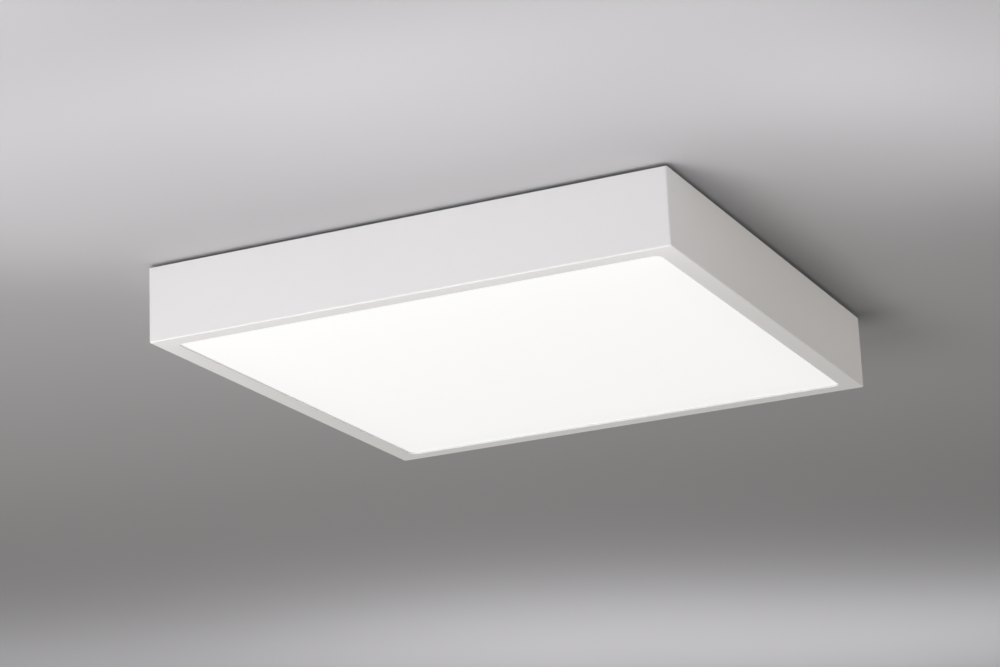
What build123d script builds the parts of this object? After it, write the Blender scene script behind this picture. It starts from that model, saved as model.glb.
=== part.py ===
from build123d import *
import math
import os

# Square surface-mounted LED ceiling light: a ceiling plate with the gear, and a cover that pushes up over it
# Millimetres; the origin is on the ceiling at the centre of the fixing slots, +Z points up into the ceiling,
# -Y is the front and +X the right-hand side

os.makedirs("parts", exist_ok=True)

# Clearances
seat_gap = 1.3  # between the ceiling plate and the rails that come up under it
catch_gap = 0.3  # between a rail's edge and its latch spring
plate_gap = 6.0  # between the ceiling plate's edge and the walls
slide_gap = 4.5  # between the rails' edges and the LED plate's skirts
fit_gap = 0.1  # round a shank, a lead or a bar in its hole
button_gap = 0.25  # round a button in its pocket

# Housing: one folded sheet with four walls and a rim
side = 400.0
wall_height = 56.0
housing_sheet = 1.5
rim_width = 14.5
window_radius = 5.5
corner_radius = 2.5  # upright edges
edge_radius = 2.0  # edge between the walls and the rim

# Diffuser and the clamps that hold it down on the rim
diffuser_sheet = 3.0
diffuser_lap = 4.5
diffuser_corner = 6.0
clamp_sheet = 1.2
clamp_width = 12.0
clamp_toe = 4.5  # how far a clamp reaches over the diffuser
clamp_spread = 110.0  # from the middle of a side to each of its two clamps
stud_radius = 1.5
stud_length = 9.0
stud_inset = 4.0  # from the wall to a stud's axis
nut_width = 5.5
nut_height = 2.4

# Catch rails: angles welded inside the walls' top edge
rail_sheet = 1.0
rail_leg = 8.0
rail_drop = 10.0
rail_bend = 1.6
rail_length = 340.0

# Ceiling plate
plate_sheet = 1.2
plate_corner = 6.0
slot_spacing = 260.0
slot_width = 5.5
slot_length = 14.0
dish_radius = 24.0
dish_depth = 4.0
bead_length = 190.0
bead_width = 9.0
bead_depth = 1.6
bead_places = [66.0, 102.0]
tab_width = 40.0
tab_height = 24.0
tab_bend = 1.0
tab_relief = 1.5

# Latch springs and their rivets
spring_sheet = 0.6
spring_width = 24.0
spring_base = 9.0
spring_room = 6.5  # from the tab to the rail's edge
latch_bite = 2.6  # how far the spring's nose stands under the rail
latch_angle = 40.0  # slope above the nose
latch_tip = 1.4
rivet_radius = 1.5
rivet_head_radius = 2.8
rivet_head = 1.3
rivet_spread = 14.0

# Cable grommet
grommet_bore = 5.0
grommet_neck = 7.5
grommet_flange = 10.5
grommet_lip = 1.8

# LED plate on standoffs
led_plate_level = 24.0  # from the ceiling to the plate's upper face
led_plate_sheet = 0.8
skirt_drop = 18.0
standoff_inset = 18.0  # from the plate's fold to a standoff's axis
standoff_width = 7.0
standoff_spigot = 2.7
screw_radius = 1.95
screw_head_radius = 4.0
screw_head = 2.6
screw_engagement = 9.0
thread_spare = 3.0  # thread left free past a screw's end

# LED boards
board_gap = 10.0
board_edge = 7.0  # from the boards to the plate's fold
board_margin = 12.0  # from a board's edge to its first row of LEDs
board_sheet = 1.6
led_count = 5
led_width = 2.8
led_length = 3.5
led_height = 0.8
push_rivet_inset = 5.5
push_rivet_radius = 1.5
push_rivet_head_radius = 3.0
push_rivet_head = 1.2
push_rivet_grip = 2.0

# Board connectors, jumper links and the bush for the LED leads
connector_length = 10.0
connector_depth = 7.0
connector_height = 4.2
connector_edge = 2.0  # from the board's edge
led_lead_radius = 0.9
led_lead_pitch = 2.4
bush_bore = 2.5
bush_neck = 3.5
bush_flange = 4.6
bush_lip = 1.0

# Supply terminal block
block_length = 34.0
block_depth = 24.0
block_height = 17.0
block_space = 8.0  # from the dish to the block
pole_pitch = 10.0
entry_size = 3.2
entry_depth = 9.0
block_corner = 1.0
ear_length = 9.0
ear_sheet = 3.0
small_screw_radius = 1.4
small_head_radius = 2.8
small_head = 2.0
contact_width = 4.0
contact_length = 13.0
contact_sheet = 1.0
button_length = 6.4
button_depth = 9.0
button_height = 7.4
button_stand = 2.2  # how far a button stands out at rest
button_edge = 0.6
pocket_depth = 7.2

# Leads
lead_radius = 1.1
lead_level = -9.0
lead_inside = 6.0  # length of a lead inside a terminal
line_offset = 8.0  # from the terminal block to the line lead's run
neutral_offset = 7.0  # from the line lead's run to the neutral lead's
earth_offset = 10.0  # from the terminal block to the earth lead's run
driver_space = 7.0  # from the neutral lead's run to the driver
turn_space = 18.0  # from the driver's input end to the neutral lead's turn
turn_step = 6.0  # from the neutral lead's turn to the line lead's
short_bend = 7.0
lead_bend = 8.0
wide_bend = 10.0
led_turn = 8.0  # from the driver's output end to the LED leads' turn
led_bend = 6.0
tight_bend = 2.2  # where the LED leads turn into their connector

# Driver
driver_length = 220.0
driver_width = 30.0
driver_height = 20.0
driver_sheet = 1.0
driver_ear = 11.0
driver_corner = 2.0
driver_edge = 1.5
driver_post = 3.6
driver_post_radius = 2.0
driver_post_inset = 33.0
driver_post_spread = 18.0
driver_board_sheet = 1.6
driver_pole_pitch = 8.0
driver_terminal_length = 20.0
driver_terminal_width = 24.0
driver_terminal_height = 12.0
transformer_length = 30.0
transformer_width = 20.0
transformer_height = 10.8
capacitor_radius = 5.0
capacitor_height = 11.4
capacitor_place = 42.0
capacitor_pitch = 16.0
choke_radius = 7.0
choke_bore = 3.0
choke_height = 7.2
choke_place = 74.0
heat_sink_length = 18.0
heat_sink_width = 5.0
heat_sink_height = 9.6
heat_sink_place = 62.0

# Earth stud
earth_place = 74.0
earth_radius = 2.0
earth_collar = 4.0
earth_ring_radius = 4.2
earth_ring_sheet = 0.8
earth_barrel = 6.0
earth_nut_width = 7.0
earth_nut_height = 3.2
earth_end = 1.5  # thread that stands out of the nut
earth_neck = 1.5  # from the ring to the barrel
earth_neck_width = 3.4
barrel_wall = 0.8

# Levels and places that follow from the sizes
plate_face = -plate_sheet
rail_top = plate_face - seat_gap
wall_top = rail_top
rim_face = wall_top - wall_height
rim_back = rim_face + housing_sheet
diffuser_back = rim_back + diffuser_sheet
wall_inner = side / 2 - housing_sheet
window_side = side - 2 * rim_width
diffuser_side = window_side + 2 * diffuser_lap
stud_place = wall_inner - stud_inset
rail_inner = wall_inner - rail_leg
rail_bottom = rail_top - rail_sheet
plate_side = 2 * (wall_inner - plate_gap)
tab_face = rail_inner - spring_room
tab_bottom = plate_face - tab_height
rivet_level = tab_bottom + spring_base / 2
dish_floor = -dish_depth - plate_sheet
led_plate_top = -led_plate_level
led_plate_face = led_plate_top - led_plate_sheet
skirt_half = rail_inner - slide_gap
led_plate_half = skirt_half - skirt_drop
board_face = led_plate_face - board_sheet
standoff_place = led_plate_half - standoff_inset
board_side = led_plate_half - board_edge - board_gap / 2
led_pitch = (board_side - 2 * board_margin) / (led_count - 1)
board_centre = board_gap / 2 + board_side / 2
push_rivet_spread = board_side - 2 * push_rivet_inset
link_level = board_face - connector_height / 2
link_place = board_gap / 2 + board_margin + 1.5 * led_pitch
connector_place = board_gap / 2 + connector_edge + connector_depth / 2
block_face = plate_face - block_height
block_front = -dish_radius - block_space
block_rear = block_front - block_depth
block_y = (block_front + block_rear) / 2
ear_place = block_length / 2 + ear_length / 2
line_run = block_rear - line_offset
neutral_run = line_run - neutral_offset
earth_run = block_rear - earth_offset
driver_front = neutral_run - driver_space
driver_y = driver_front - driver_width / 2
driver_base_face = plate_face - driver_sheet
driver_lid_face = driver_base_face - driver_height
driver_board_under = driver_lid_face + driver_sheet + driver_post
driver_board_top = driver_board_under + driver_board_sheet
driver_end = driver_length / 2
driver_screw_place = driver_end + driver_ear / 2
pole_near = driver_y + driver_pole_pitch / 2
pole_far = driver_y - driver_pole_pitch / 2
neutral_turn = -driver_end - turn_space
line_turn = neutral_turn - turn_step
bush_place = driver_end + led_turn

SIDES = {"right": 0, "back": 90, "left": 180, "front": 270}
BOARDS = {1: (1, -1), 2: (1, 1), 3: (-1, 1), 4: (-1, -1)}


def save(piece, name):
    """Labels a finished piece and writes it to its own file."""
    piece.part.label = name
    export_step(piece.part, f"parts/{name}.step")


def section_plane(angle, along=0.0):
    """Upright plane across one side: local x points out of that side, local y points up."""
    outward = Vector(1, 0, 0).rotate(Axis.Z, angle)
    across = Vector(0, -1, 0).rotate(Axis.Z, angle)
    return Plane(origin=across * along, x_dir=outward, z_dir=across)


def around(out, along):
    """Points at one distance from the centre, at two places along each side."""
    return [Vector(out, place, 0).rotate(Axis.Z, angle) for angle in SIDES.values() for place in (-along, along)]


def bent_sheet(points, bend, sheet, hand):
    """Outline of a bent sheet that lies to one hand of a line with rounded corners."""
    with BuildLine() as outline:
        FilletPolyline(*points, radius=bend)
        offset(amount=sheet, side=hand)
    return outline.edges()


def pan_head_screws(name, places, seat, length, shank, head_radius, head):
    """Screws that point up from a seat, with rounded heads below it."""
    with BuildPart() as screws:
        with BuildSketch(Plane.XY.offset(seat)):
            with Locations(*places):
                Circle(head_radius)
        extrude(amount=-head)
        fillet(screws.faces().group_by(Axis.Z)[0].edges(), head * 0.45)
        with BuildSketch(Plane.XY.offset(seat)):
            with Locations(*places):
                Circle(shank)
        extrude(amount=length)
    save(screws, name)


def lead(name, points, bends, radius):
    """Round lead along straight runs with rounded corners."""
    with BuildPart() as wire:
        with BuildLine() as route:
            FilletPolyline(*points, radius=bends)
        with BuildSketch(Plane(origin=route.line @ 0, z_dir=route.line % 0)):
            Circle(radius)
        sweep(path=route.wire())
    save(wire, name)


# Housing frame
with BuildPart() as housing_frame:
    with BuildSketch(Plane.XY.offset(rim_face)):
        RectangleRounded(side, side, corner_radius)
    extrude(amount=wall_height)
    fillet(housing_frame.faces().sort_by(Axis.Z)[0].edges(), edge_radius)
    with BuildSketch(Plane.XY.offset(rim_back)):
        RectangleRounded(2 * wall_inner, 2 * wall_inner, corner_radius - housing_sheet)
    extrude(amount=wall_height, mode=Mode.SUBTRACT)
    with BuildSketch(Plane.XY.offset(rim_face)):
        RectangleRounded(window_side, window_side, window_radius)
    extrude(amount=housing_sheet, mode=Mode.SUBTRACT)
save(housing_frame, "housing_frame")

# Catch rails
for name, angle in SIDES.items():
    with BuildPart() as catch_rail:
        with BuildSketch(section_plane(angle)):
            corners = [(wall_inner, rail_top - rail_drop), (wall_inner, rail_top), (rail_inner, rail_top)]
            make_face(bent_sheet(corners, rail_bend, rail_sheet, Side.LEFT))
        extrude(amount=rail_length / 2, both=True)
    save(catch_rail, f"catch_rail_{name}")

# Diffuser
with BuildPart() as diffuser:
    with BuildSketch(Plane.XY.offset(rim_back)):
        RectangleRounded(diffuser_side, diffuser_side, diffuser_corner)
    extrude(amount=diffuser_sheet)
save(diffuser, "diffuser")

# Diffuser clamps
clamp_back = wall_inner - fit_gap
with BuildPart() as diffuser_clamps:
    for angle in SIDES.values():
        for along in (-clamp_spread, clamp_spread):
            with BuildSketch(section_plane(angle, along)):
                toe = diffuser_side / 2 - clamp_toe
                level = diffuser_back + clamp_sheet
                corners = [(clamp_back, rim_back), (clamp_back, level), (toe, level)]
                make_face(bent_sheet(corners, clamp_sheet * 1.4, clamp_sheet, Side.LEFT))
            extrude(amount=clamp_width / 2, both=True)
    with BuildSketch(Plane.XY.offset(diffuser_back)):
        with Locations(*around(stud_place, clamp_spread)):
            Circle(stud_radius + fit_gap)
    extrude(amount=clamp_sheet, mode=Mode.SUBTRACT)
save(diffuser_clamps, "diffuser_clamps")

# Clamp studs, welded to the rim
with BuildPart() as clamp_studs:
    with BuildSketch(Plane.XY.offset(rim_back)):
        with Locations(*around(stud_place, clamp_spread)):
            Circle(stud_radius)
    extrude(amount=stud_length)
    chamfer(clamp_studs.faces().group_by(Axis.Z)[-1].edges(), stud_radius / 4)
save(clamp_studs, "clamp_studs")

# Clamp nuts
with BuildPart() as clamp_nuts:
    with BuildSketch(Plane.XY.offset(diffuser_back + clamp_sheet)):
        with Locations(*around(stud_place, clamp_spread)):
            RegularPolygon(nut_width / 2, 6, major_radius=False)
            Circle(stud_radius + fit_gap / 2, mode=Mode.SUBTRACT)
    extrude(amount=nut_height)
save(clamp_nuts, "clamp_nuts")

# Ceiling plate
sheet_miter = plate_sheet * (math.sqrt(2) - 1)  # keeps a pressed slope as thick as the sheet
earth_point = (earth_place, earth_run)
driver_screw_points = [(-driver_screw_place, driver_y), (driver_screw_place, driver_y)]
standoff_points = [Vector(standoff_place, 0, 0).rotate(Axis.Z, angle) for angle in SIDES.values()]
bead_points = [(0, place) for place in bead_places]
rivet_points = [(-rivet_spread / 2, rivet_level), (rivet_spread / 2, rivet_level)]
with BuildPart() as ceiling_plate:
    with BuildSketch(Plane.XY):
        RectangleRounded(plate_side, plate_side, plate_corner)
        with GridLocations(slot_spacing, slot_spacing, 2, 2):
            SlotOverall(slot_length, slot_width, mode=Mode.SUBTRACT)
        with Locations(*standoff_points):
            Circle(standoff_spigot + fit_gap, mode=Mode.SUBTRACT)
        with Locations(*driver_screw_points):
            Circle(screw_radius + fit_gap, mode=Mode.SUBTRACT)
        with Locations((ear_place, block_y)):
            Circle(small_screw_radius + fit_gap, mode=Mode.SUBTRACT)
    extrude(amount=-plate_sheet)
    # Dished cable entry
    with BuildSketch(Plane.XY.offset(plate_face)):
        Circle(dish_radius + sheet_miter)
    extrude(amount=-dish_depth, taper=45)
    with BuildSketch(Plane.XY):
        Circle(dish_radius)
    extrude(amount=-dish_depth, taper=45, mode=Mode.SUBTRACT)
    with BuildSketch(Plane.XY.offset(dish_floor)):
        Circle(grommet_neck + fit_gap)
    extrude(amount=dish_depth, mode=Mode.SUBTRACT)
    # Stiffening beads
    with BuildSketch(Plane.XY.offset(plate_face)):
        with Locations(*bead_points):
            SlotOverall(bead_length + 2 * sheet_miter, bead_width + 2 * sheet_miter)
    extrude(amount=-bead_depth, taper=45)
    with BuildSketch(Plane.XY):
        with Locations(*bead_points):
            SlotOverall(bead_length, bead_width)
    extrude(amount=-bead_depth, taper=45, mode=Mode.SUBTRACT)
    # Tabs lanced out of the sheet and bent down
    for angle in SIDES.values():
        with BuildSketch(section_plane(angle)):
            with Locations((tab_face + tab_bend, 0)):
                Rectangle(tab_height + plate_sheet + tab_bend, 2 * plate_sheet, align=(Align.MAX, Align.CENTER))
        extrude(amount=tab_width / 2 + tab_relief, both=True, mode=Mode.SUBTRACT)
        with BuildSketch(section_plane(angle)):
            corners = [(tab_face + 3 * tab_bend, plate_face), (tab_face, plate_face), (tab_face, tab_bottom)]
            make_face(bent_sheet(corners, tab_bend, plate_sheet, Side.RIGHT))
        extrude(amount=tab_width / 2, both=True)
        with BuildSketch(section_plane(angle + 90)):
            with Locations(*rivet_points):
                Circle(rivet_radius + fit_gap)
        extrude(amount=tab_face + tab_bend, mode=Mode.SUBTRACT)
save(ceiling_plate, "ceiling_plate")

# Cable grommet
with BuildPart() as cable_grommet:
    with BuildSketch(Plane.XZ):
        with BuildLine():
            Polyline(
                (grommet_bore, dish_floor - grommet_lip),
                (grommet_flange, dish_floor - grommet_lip),
                (grommet_flange, dish_floor),
                (grommet_neck, dish_floor),
                (grommet_neck, -dish_depth),
                (grommet_flange, -dish_depth),
                (grommet_flange, -dish_depth + grommet_lip),
                (grommet_bore, -dish_depth + grommet_lip),
                close=True,
            )
        make_face()
    revolve(axis=Axis.Z)
save(cable_grommet, "cable_grommet")

# Latch springs
slope = math.radians(latch_angle)
slope_in = Vector(-math.cos(slope), math.sin(slope))
slope_up = Vector(math.sin(slope), math.cos(slope))
under_edge = Vector(rail_inner, rail_bottom) - slope_up * (catch_gap + spring_sheet)
nose = under_edge - slope_in * ((rail_inner + latch_bite - under_edge.X) / math.cos(slope))
tip = under_edge + slope_in * latch_tip
for name, angle in SIDES.items():
    with BuildPart() as latch_spring:
        with BuildSketch(section_plane(angle)):
            foot = [(tab_face, tab_bottom), (tab_face, tab_bottom + spring_base)]
            corners = [*foot, (nose.X, nose.Y), (tip.X, tip.Y)]
            make_face(bent_sheet(corners, 2 * spring_sheet, spring_sheet, Side.RIGHT))
        extrude(amount=spring_width / 2, both=True)
        with BuildSketch(section_plane(angle + 90)):
            with Locations(*rivet_points):
                Circle(rivet_radius + fit_gap)
        extrude(amount=2 * tab_face, mode=Mode.SUBTRACT)
    save(latch_spring, f"latch_spring_{name}")

# Latch rivets, through the tabs and the springs
with BuildPart() as latch_rivets:
    for angle in SIDES.values():
        across = section_plane(angle + 90)
        inner_face = tab_face - plate_sheet
        outer_face = tab_face + spring_sheet
        for start, length, radius in (
            (inner_face - rivet_head, rivet_head, rivet_head_radius),
            (inner_face, outer_face - inner_face, rivet_radius),
            (outer_face, rivet_head, rivet_head_radius),
        ):
            with BuildSketch(across.offset(start)):
                with Locations(*rivet_points):
                    Circle(radius)
            extrude(amount=length)
save(latch_rivets, "latch_rivets")

# Standoffs, clinched into the ceiling plate
with BuildPart() as standoffs:
    with BuildSketch(Plane.XY.offset(led_plate_top)):
        with Locations(*standoff_points):
            RegularPolygon(standoff_width / 2, 6, major_radius=False)
    extrude(amount=plate_face - led_plate_top)
    with BuildSketch(Plane.XY.offset(plate_face)):
        with Locations(*standoff_points):
            Circle(standoff_spigot)
    extrude(amount=plate_sheet - fit_gap)
    with BuildSketch(Plane.XY.offset(led_plate_top)):
        with Locations(*standoff_points):
            Circle(screw_radius + fit_gap / 2)
    extrude(amount=screw_engagement + thread_spare, mode=Mode.SUBTRACT)
save(standoffs, "standoffs")

# LED plate: a pan with sloped skirts
board_points = [(x * board_centre, y * board_centre) for x, y in BOARDS.values()]
with BuildPart() as led_plate:
    with BuildSketch(Plane.XY.offset(led_plate_top)):
        Rectangle(2 * led_plate_half, 2 * led_plate_half)
    with BuildSketch(Plane.XY.offset(led_plate_top - skirt_drop)):
        Rectangle(2 * skirt_half, 2 * skirt_half)
    loft()
    offset(amount=-led_plate_sheet, openings=led_plate.faces().sort_by(Axis.Z)[0])
    with BuildSketch(Plane.XY.offset(led_plate_top)):
        with Locations(*standoff_points):
            Circle(screw_radius + 2 * fit_gap)
        with Locations(*board_points):
            with GridLocations(push_rivet_spread, push_rivet_spread, 2, 2):
                Circle(push_rivet_radius + fit_gap)
        with Locations((bush_place, 0)):
            Circle(bush_neck + fit_gap)
    extrude(amount=-2 * led_plate_sheet, mode=Mode.SUBTRACT)
save(led_plate, "led_plate")

# LED boards and their LEDs
for number, (x, y) in BOARDS.items():
    on_plate = Plane((x * board_centre, y * board_centre, led_plate_face))
    with BuildPart() as led_board:
        with BuildSketch(on_plate):
            Rectangle(board_side, board_side)
            with GridLocations(push_rivet_spread, push_rivet_spread, 2, 2):
                Circle(push_rivet_radius + fit_gap, mode=Mode.SUBTRACT)
        extrude(amount=-board_sheet)
    save(led_board, f"led_board_{number}")
    with BuildPart() as leds:
        with BuildSketch(on_plate.offset(-board_sheet)):
            with GridLocations(led_pitch, led_pitch, led_count, led_count):
                Rectangle(led_width, led_length)
        extrude(amount=-led_height)
    save(leds, f"leds_{number}")

# Push rivets that hold the boards
with BuildPart() as board_rivets:
    for level, length, radius in (
        (board_face, -push_rivet_head, push_rivet_head_radius),
        (board_face, led_plate_top - board_face, push_rivet_radius),
        (led_plate_top, push_rivet_grip, push_rivet_radius + 2 * fit_gap),
    ):
        with BuildSketch(Plane.XY.offset(level)):
            with Locations(*board_points):
                with GridLocations(push_rivet_spread, push_rivet_spread, 2, 2):
                    Circle(radius)
        extrude(amount=length)
save(board_rivets, "board_rivets")

# Board connectors: one where the leads arrive, then a pair at each link
connector_places = [
    (bush_place, -connector_place, 0),
    (link_place, -connector_place, 0),
    (link_place, connector_place, 0),
    (connector_place, link_place, 90),
    (-connector_place, link_place, 90),
    (-link_place, connector_place, 0),
    (-link_place, -connector_place, 0),
]
with BuildPart() as board_connectors:
    for x, y, turn in connector_places:
        on_board = Plane(Location((x, y, board_face), (0, 0, turn)))
        with BuildSketch(on_board):
            Rectangle(connector_length, connector_depth)
        extrude(amount=-connector_height)
        upright = Plane(origin=(x, y, link_level), x_dir=on_board.x_dir, z_dir=on_board.y_dir)
        with BuildSketch(upright):
            with Locations((-led_lead_pitch / 2, 0), (led_lead_pitch / 2, 0)):
                Circle(led_lead_radius + fit_gap)
        extrude(amount=connector_depth, both=True, mode=Mode.SUBTRACT)
save(board_connectors, "board_connectors")

# Jumper links across the gaps between the boards
with BuildPart() as board_links:
    for x, y, normal in ((link_place, 0, "y"), (0, link_place, "x"), (-link_place, 0, "y")):
        z_dir = (0, 1, 0) if normal == "y" else (1, 0, 0)
        x_dir = (1, 0, 0) if normal == "y" else (0, 1, 0)
        with BuildSketch(Plane(origin=(x, y, link_level), x_dir=x_dir, z_dir=z_dir)):
            with Locations((-led_lead_pitch / 2, 0), (led_lead_pitch / 2, 0)):
                Circle(led_lead_radius)
        extrude(amount=connector_place, both=True)
save(board_links, "board_links")

# Bush where the LED leads pass through the LED plate
with BuildPart() as lead_bush:
    for level, length, radius in (
        (led_plate_face, -bush_lip, bush_flange),
        (led_plate_face, led_plate_sheet, bush_neck),
        (led_plate_top, bush_lip, bush_flange),
    ):
        with BuildSketch(Plane((bush_place, 0, level))):
            Circle(radius)
            Circle(bush_bore, mode=Mode.SUBTRACT)
        extrude(amount=length)
save(lead_bush, "lead_bush")

# Screws of the LED plate, the driver and the terminal block
pan_head_screws(
    "led_plate_screws",
    standoff_points,
    led_plate_face,
    led_plate_sheet + screw_engagement,
    screw_radius,
    screw_head_radius,
    screw_head,
)
pan_head_screws(
    "driver_screws",
    driver_screw_points,
    driver_base_face,
    -driver_base_face - 2 * fit_gap,
    screw_radius,
    screw_head_radius,
    screw_head,
)
pan_head_screws(
    "terminal_screw",
    [(ear_place, block_y)],
    plate_face - ear_sheet,
    ear_sheet + plate_sheet - 2 * fit_gap,
    small_screw_radius,
    small_head_radius,
    small_head,
)

# Terminal block
poles = [-pole_pitch, 0, pole_pitch]
contact_level = lead_level + entry_size / 2
contact_y = block_front - entry_depth
with BuildPart() as terminal_block:
    with BuildSketch(Plane((0, block_y, plate_face))):
        Rectangle(block_length, block_depth)
    extrude(amount=-block_height)
    fillet(terminal_block.edges().filter_by(Axis.Z), block_corner)
    with BuildSketch(Plane((ear_place, block_y, plate_face))):
        Rectangle(ear_length, block_depth / 2)
        Circle(small_screw_radius + fit_gap, mode=Mode.SUBTRACT)
    extrude(amount=-ear_sheet)
    # Supply entries, lead holes and contact channels
    with BuildSketch(Plane(origin=(0, block_front, lead_level), x_dir=(1, 0, 0), z_dir=(0, -1, 0))):
        with Locations(*[(pole, 0) for pole in poles]):
            Rectangle(entry_size, entry_size)
    extrude(amount=entry_depth, mode=Mode.SUBTRACT)
    with BuildSketch(Plane(origin=(0, block_rear, lead_level), x_dir=(-1, 0, 0), z_dir=(0, 1, 0))):
        with Locations(*[(pole, 0) for pole in poles]):
            Circle(lead_radius + fit_gap)
    extrude(amount=lead_inside + fit_gap, mode=Mode.SUBTRACT)
    with BuildSketch(Plane((0, contact_y, contact_level - fit_gap))):
        with Locations(*[(pole, 0) for pole in poles]):
            Rectangle(contact_width + 2 * fit_gap, contact_length + 2 * fit_gap)
    extrude(amount=contact_sheet + 2 * fit_gap, mode=Mode.SUBTRACT)
    # Button pockets
    with BuildSketch(Plane((0, block_y, block_face))):
        with Locations(*[(pole, 0) for pole in poles]):
            Rectangle(button_length + 2 * button_gap, button_depth + 2 * button_gap)
    extrude(amount=pocket_depth, mode=Mode.SUBTRACT)
save(terminal_block, "terminal_block")

# Contacts inside the terminal block
with BuildPart() as terminal_contacts:
    with BuildSketch(Plane((0, contact_y, contact_level))):
        with Locations(*[(pole, 0) for pole in poles]):
            Rectangle(contact_width, contact_length)
    extrude(amount=contact_sheet)
save(terminal_contacts, "terminal_contacts")

# Release buttons
for name, pole in zip(("line", "neutral", "earth"), poles):
    with BuildPart() as button:
        with BuildSketch(Plane((pole, block_y, block_face - button_stand))):
            Rectangle(button_length, button_depth)
        extrude(amount=button_height)
        fillet(button.faces().sort_by(Axis.Z)[0].edges(), button_edge)
    save(button, f"button_{name}")

# Driver base
with BuildPart() as driver_base:
    with BuildSketch(Plane((0, driver_y, plate_face))):
        RectangleRounded(driver_length + 2 * driver_ear, driver_width, driver_corner)
        with Locations((-driver_screw_place, 0), (driver_screw_place, 0)):
            Circle(screw_radius + 2 * fit_gap, mode=Mode.SUBTRACT)
    extrude(amount=-driver_sheet)
save(driver_base, "driver_base")

# Driver lid
with BuildPart() as driver_lid:
    with BuildSketch(Plane((0, driver_y, driver_base_face))):
        Rectangle(driver_length, driver_width)
    extrude(amount=-driver_height)
    fillet(driver_lid.faces().sort_by(Axis.Z)[0].edges(), driver_edge)
    offset(amount=-driver_sheet, openings=driver_lid.faces().sort_by(Axis.Z)[-1])
    with BuildSketch(Plane((0, driver_y, driver_lid_face + driver_sheet))):
        with GridLocations(driver_length - 2 * driver_post_inset, driver_post_spread, 2, 2):
            Circle(driver_post_radius)
    extrude(amount=driver_post)
    terminal_middle = driver_board_top + driver_terminal_height / 2
    with BuildSketch(Plane(origin=(0, driver_y, terminal_middle), x_dir=(0, 1, 0), z_dir=(1, 0, 0))):
        Rectangle(driver_terminal_width + 4 * fit_gap, driver_terminal_height + 4 * fit_gap)
    extrude(amount=driver_length, both=True, mode=Mode.SUBTRACT)
save(driver_lid, "driver_lid")

# Driver board and its components
with BuildPart() as driver_board:
    with BuildSketch(Plane((0, driver_y, driver_board_under))):
        Rectangle(driver_length - 4 * driver_sheet, driver_width - 4 * driver_sheet)
    extrude(amount=driver_board_sheet)
save(driver_board, "driver_board")

on_driver_board = Plane((0, driver_y, driver_board_top))
with BuildPart() as driver_components:
    with BuildSketch(on_driver_board):
        Rectangle(transformer_length, transformer_width)
    extrude(amount=transformer_height)
    with BuildSketch(on_driver_board):
        with Locations((-capacitor_place, 0), (-capacitor_place - capacitor_pitch, 0), (capacitor_place, 0)):
            Circle(capacitor_radius)
    extrude(amount=capacitor_height)
    with BuildSketch(on_driver_board):
        with Locations((-choke_place, 0)):
            Circle(choke_radius)
            Circle(choke_bore, mode=Mode.SUBTRACT)
    extrude(amount=choke_height)
    with BuildSketch(on_driver_board):
        with Locations((heat_sink_place, 0)):
            Rectangle(heat_sink_length, heat_sink_width)
    extrude(amount=heat_sink_height)
save(driver_components, "driver_components")

# Driver terminals
for name, direction in (("input", -1), ("output", 1)):
    with BuildPart() as driver_terminal:
        middle = direction * (driver_end - driver_terminal_length / 2)
        with BuildSketch(Plane((middle, driver_y, driver_board_top))):
            Rectangle(driver_terminal_length, driver_terminal_width)
        extrude(amount=driver_terminal_height)
        entry = Plane(
            origin=(direction * driver_end, driver_y, lead_level), x_dir=(0, 1, 0), z_dir=(-direction, 0, 0)
        )
        with BuildSketch(entry):
            with Locations((-driver_pole_pitch / 2, 0), (driver_pole_pitch / 2, 0)):
                Circle(lead_radius + fit_gap)
        extrude(amount=lead_inside + fit_gap, mode=Mode.SUBTRACT)
    save(driver_terminal, f"driver_{name}")

# Earth stud, ring terminal and nut
ring_top = lead_level + earth_ring_sheet / 2
ring_under = lead_level - earth_ring_sheet / 2
barrel_start = earth_place - earth_ring_radius - earth_neck - earth_barrel
with BuildPart() as earth_stud:
    with BuildSketch(Plane((*earth_point, plate_face))):
        Circle(earth_collar)
    extrude(amount=ring_top - plate_face)
    with BuildSketch(Plane((*earth_point, ring_top))):
        Circle(earth_radius)
    extrude(amount=-(earth_ring_sheet + earth_nut_height + earth_end))
save(earth_stud, "earth_stud")

with BuildPart() as earth_ring:
    with BuildSketch(Plane((*earth_point, ring_under))):
        Circle(earth_ring_radius)
        with Locations((-earth_ring_radius, 0)):
            Rectangle(2 * earth_neck + earth_ring_sheet, earth_neck_width)
        Circle(earth_radius + fit_gap, mode=Mode.SUBTRACT)
    extrude(amount=earth_ring_sheet)
    barrel_end = Plane(origin=(barrel_start, earth_run, lead_level), x_dir=(0, 1, 0), z_dir=(1, 0, 0))
    with BuildSketch(barrel_end):
        Circle(lead_radius + barrel_wall)
    extrude(amount=earth_barrel)
    with BuildSketch(barrel_end):
        Circle(lead_radius + fit_gap / 2)
    extrude(amount=earth_barrel, mode=Mode.SUBTRACT)
save(earth_ring, "earth_ring")

with BuildPart() as earth_nut:
    with BuildSketch(Plane((*earth_point, ring_under))):
        RegularPolygon(earth_nut_width / 2, 6, major_radius=False)
        Circle(earth_radius + fit_gap / 2, mode=Mode.SUBTRACT)
    extrude(amount=-earth_nut_height)
save(earth_nut, "earth_nut")

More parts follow.
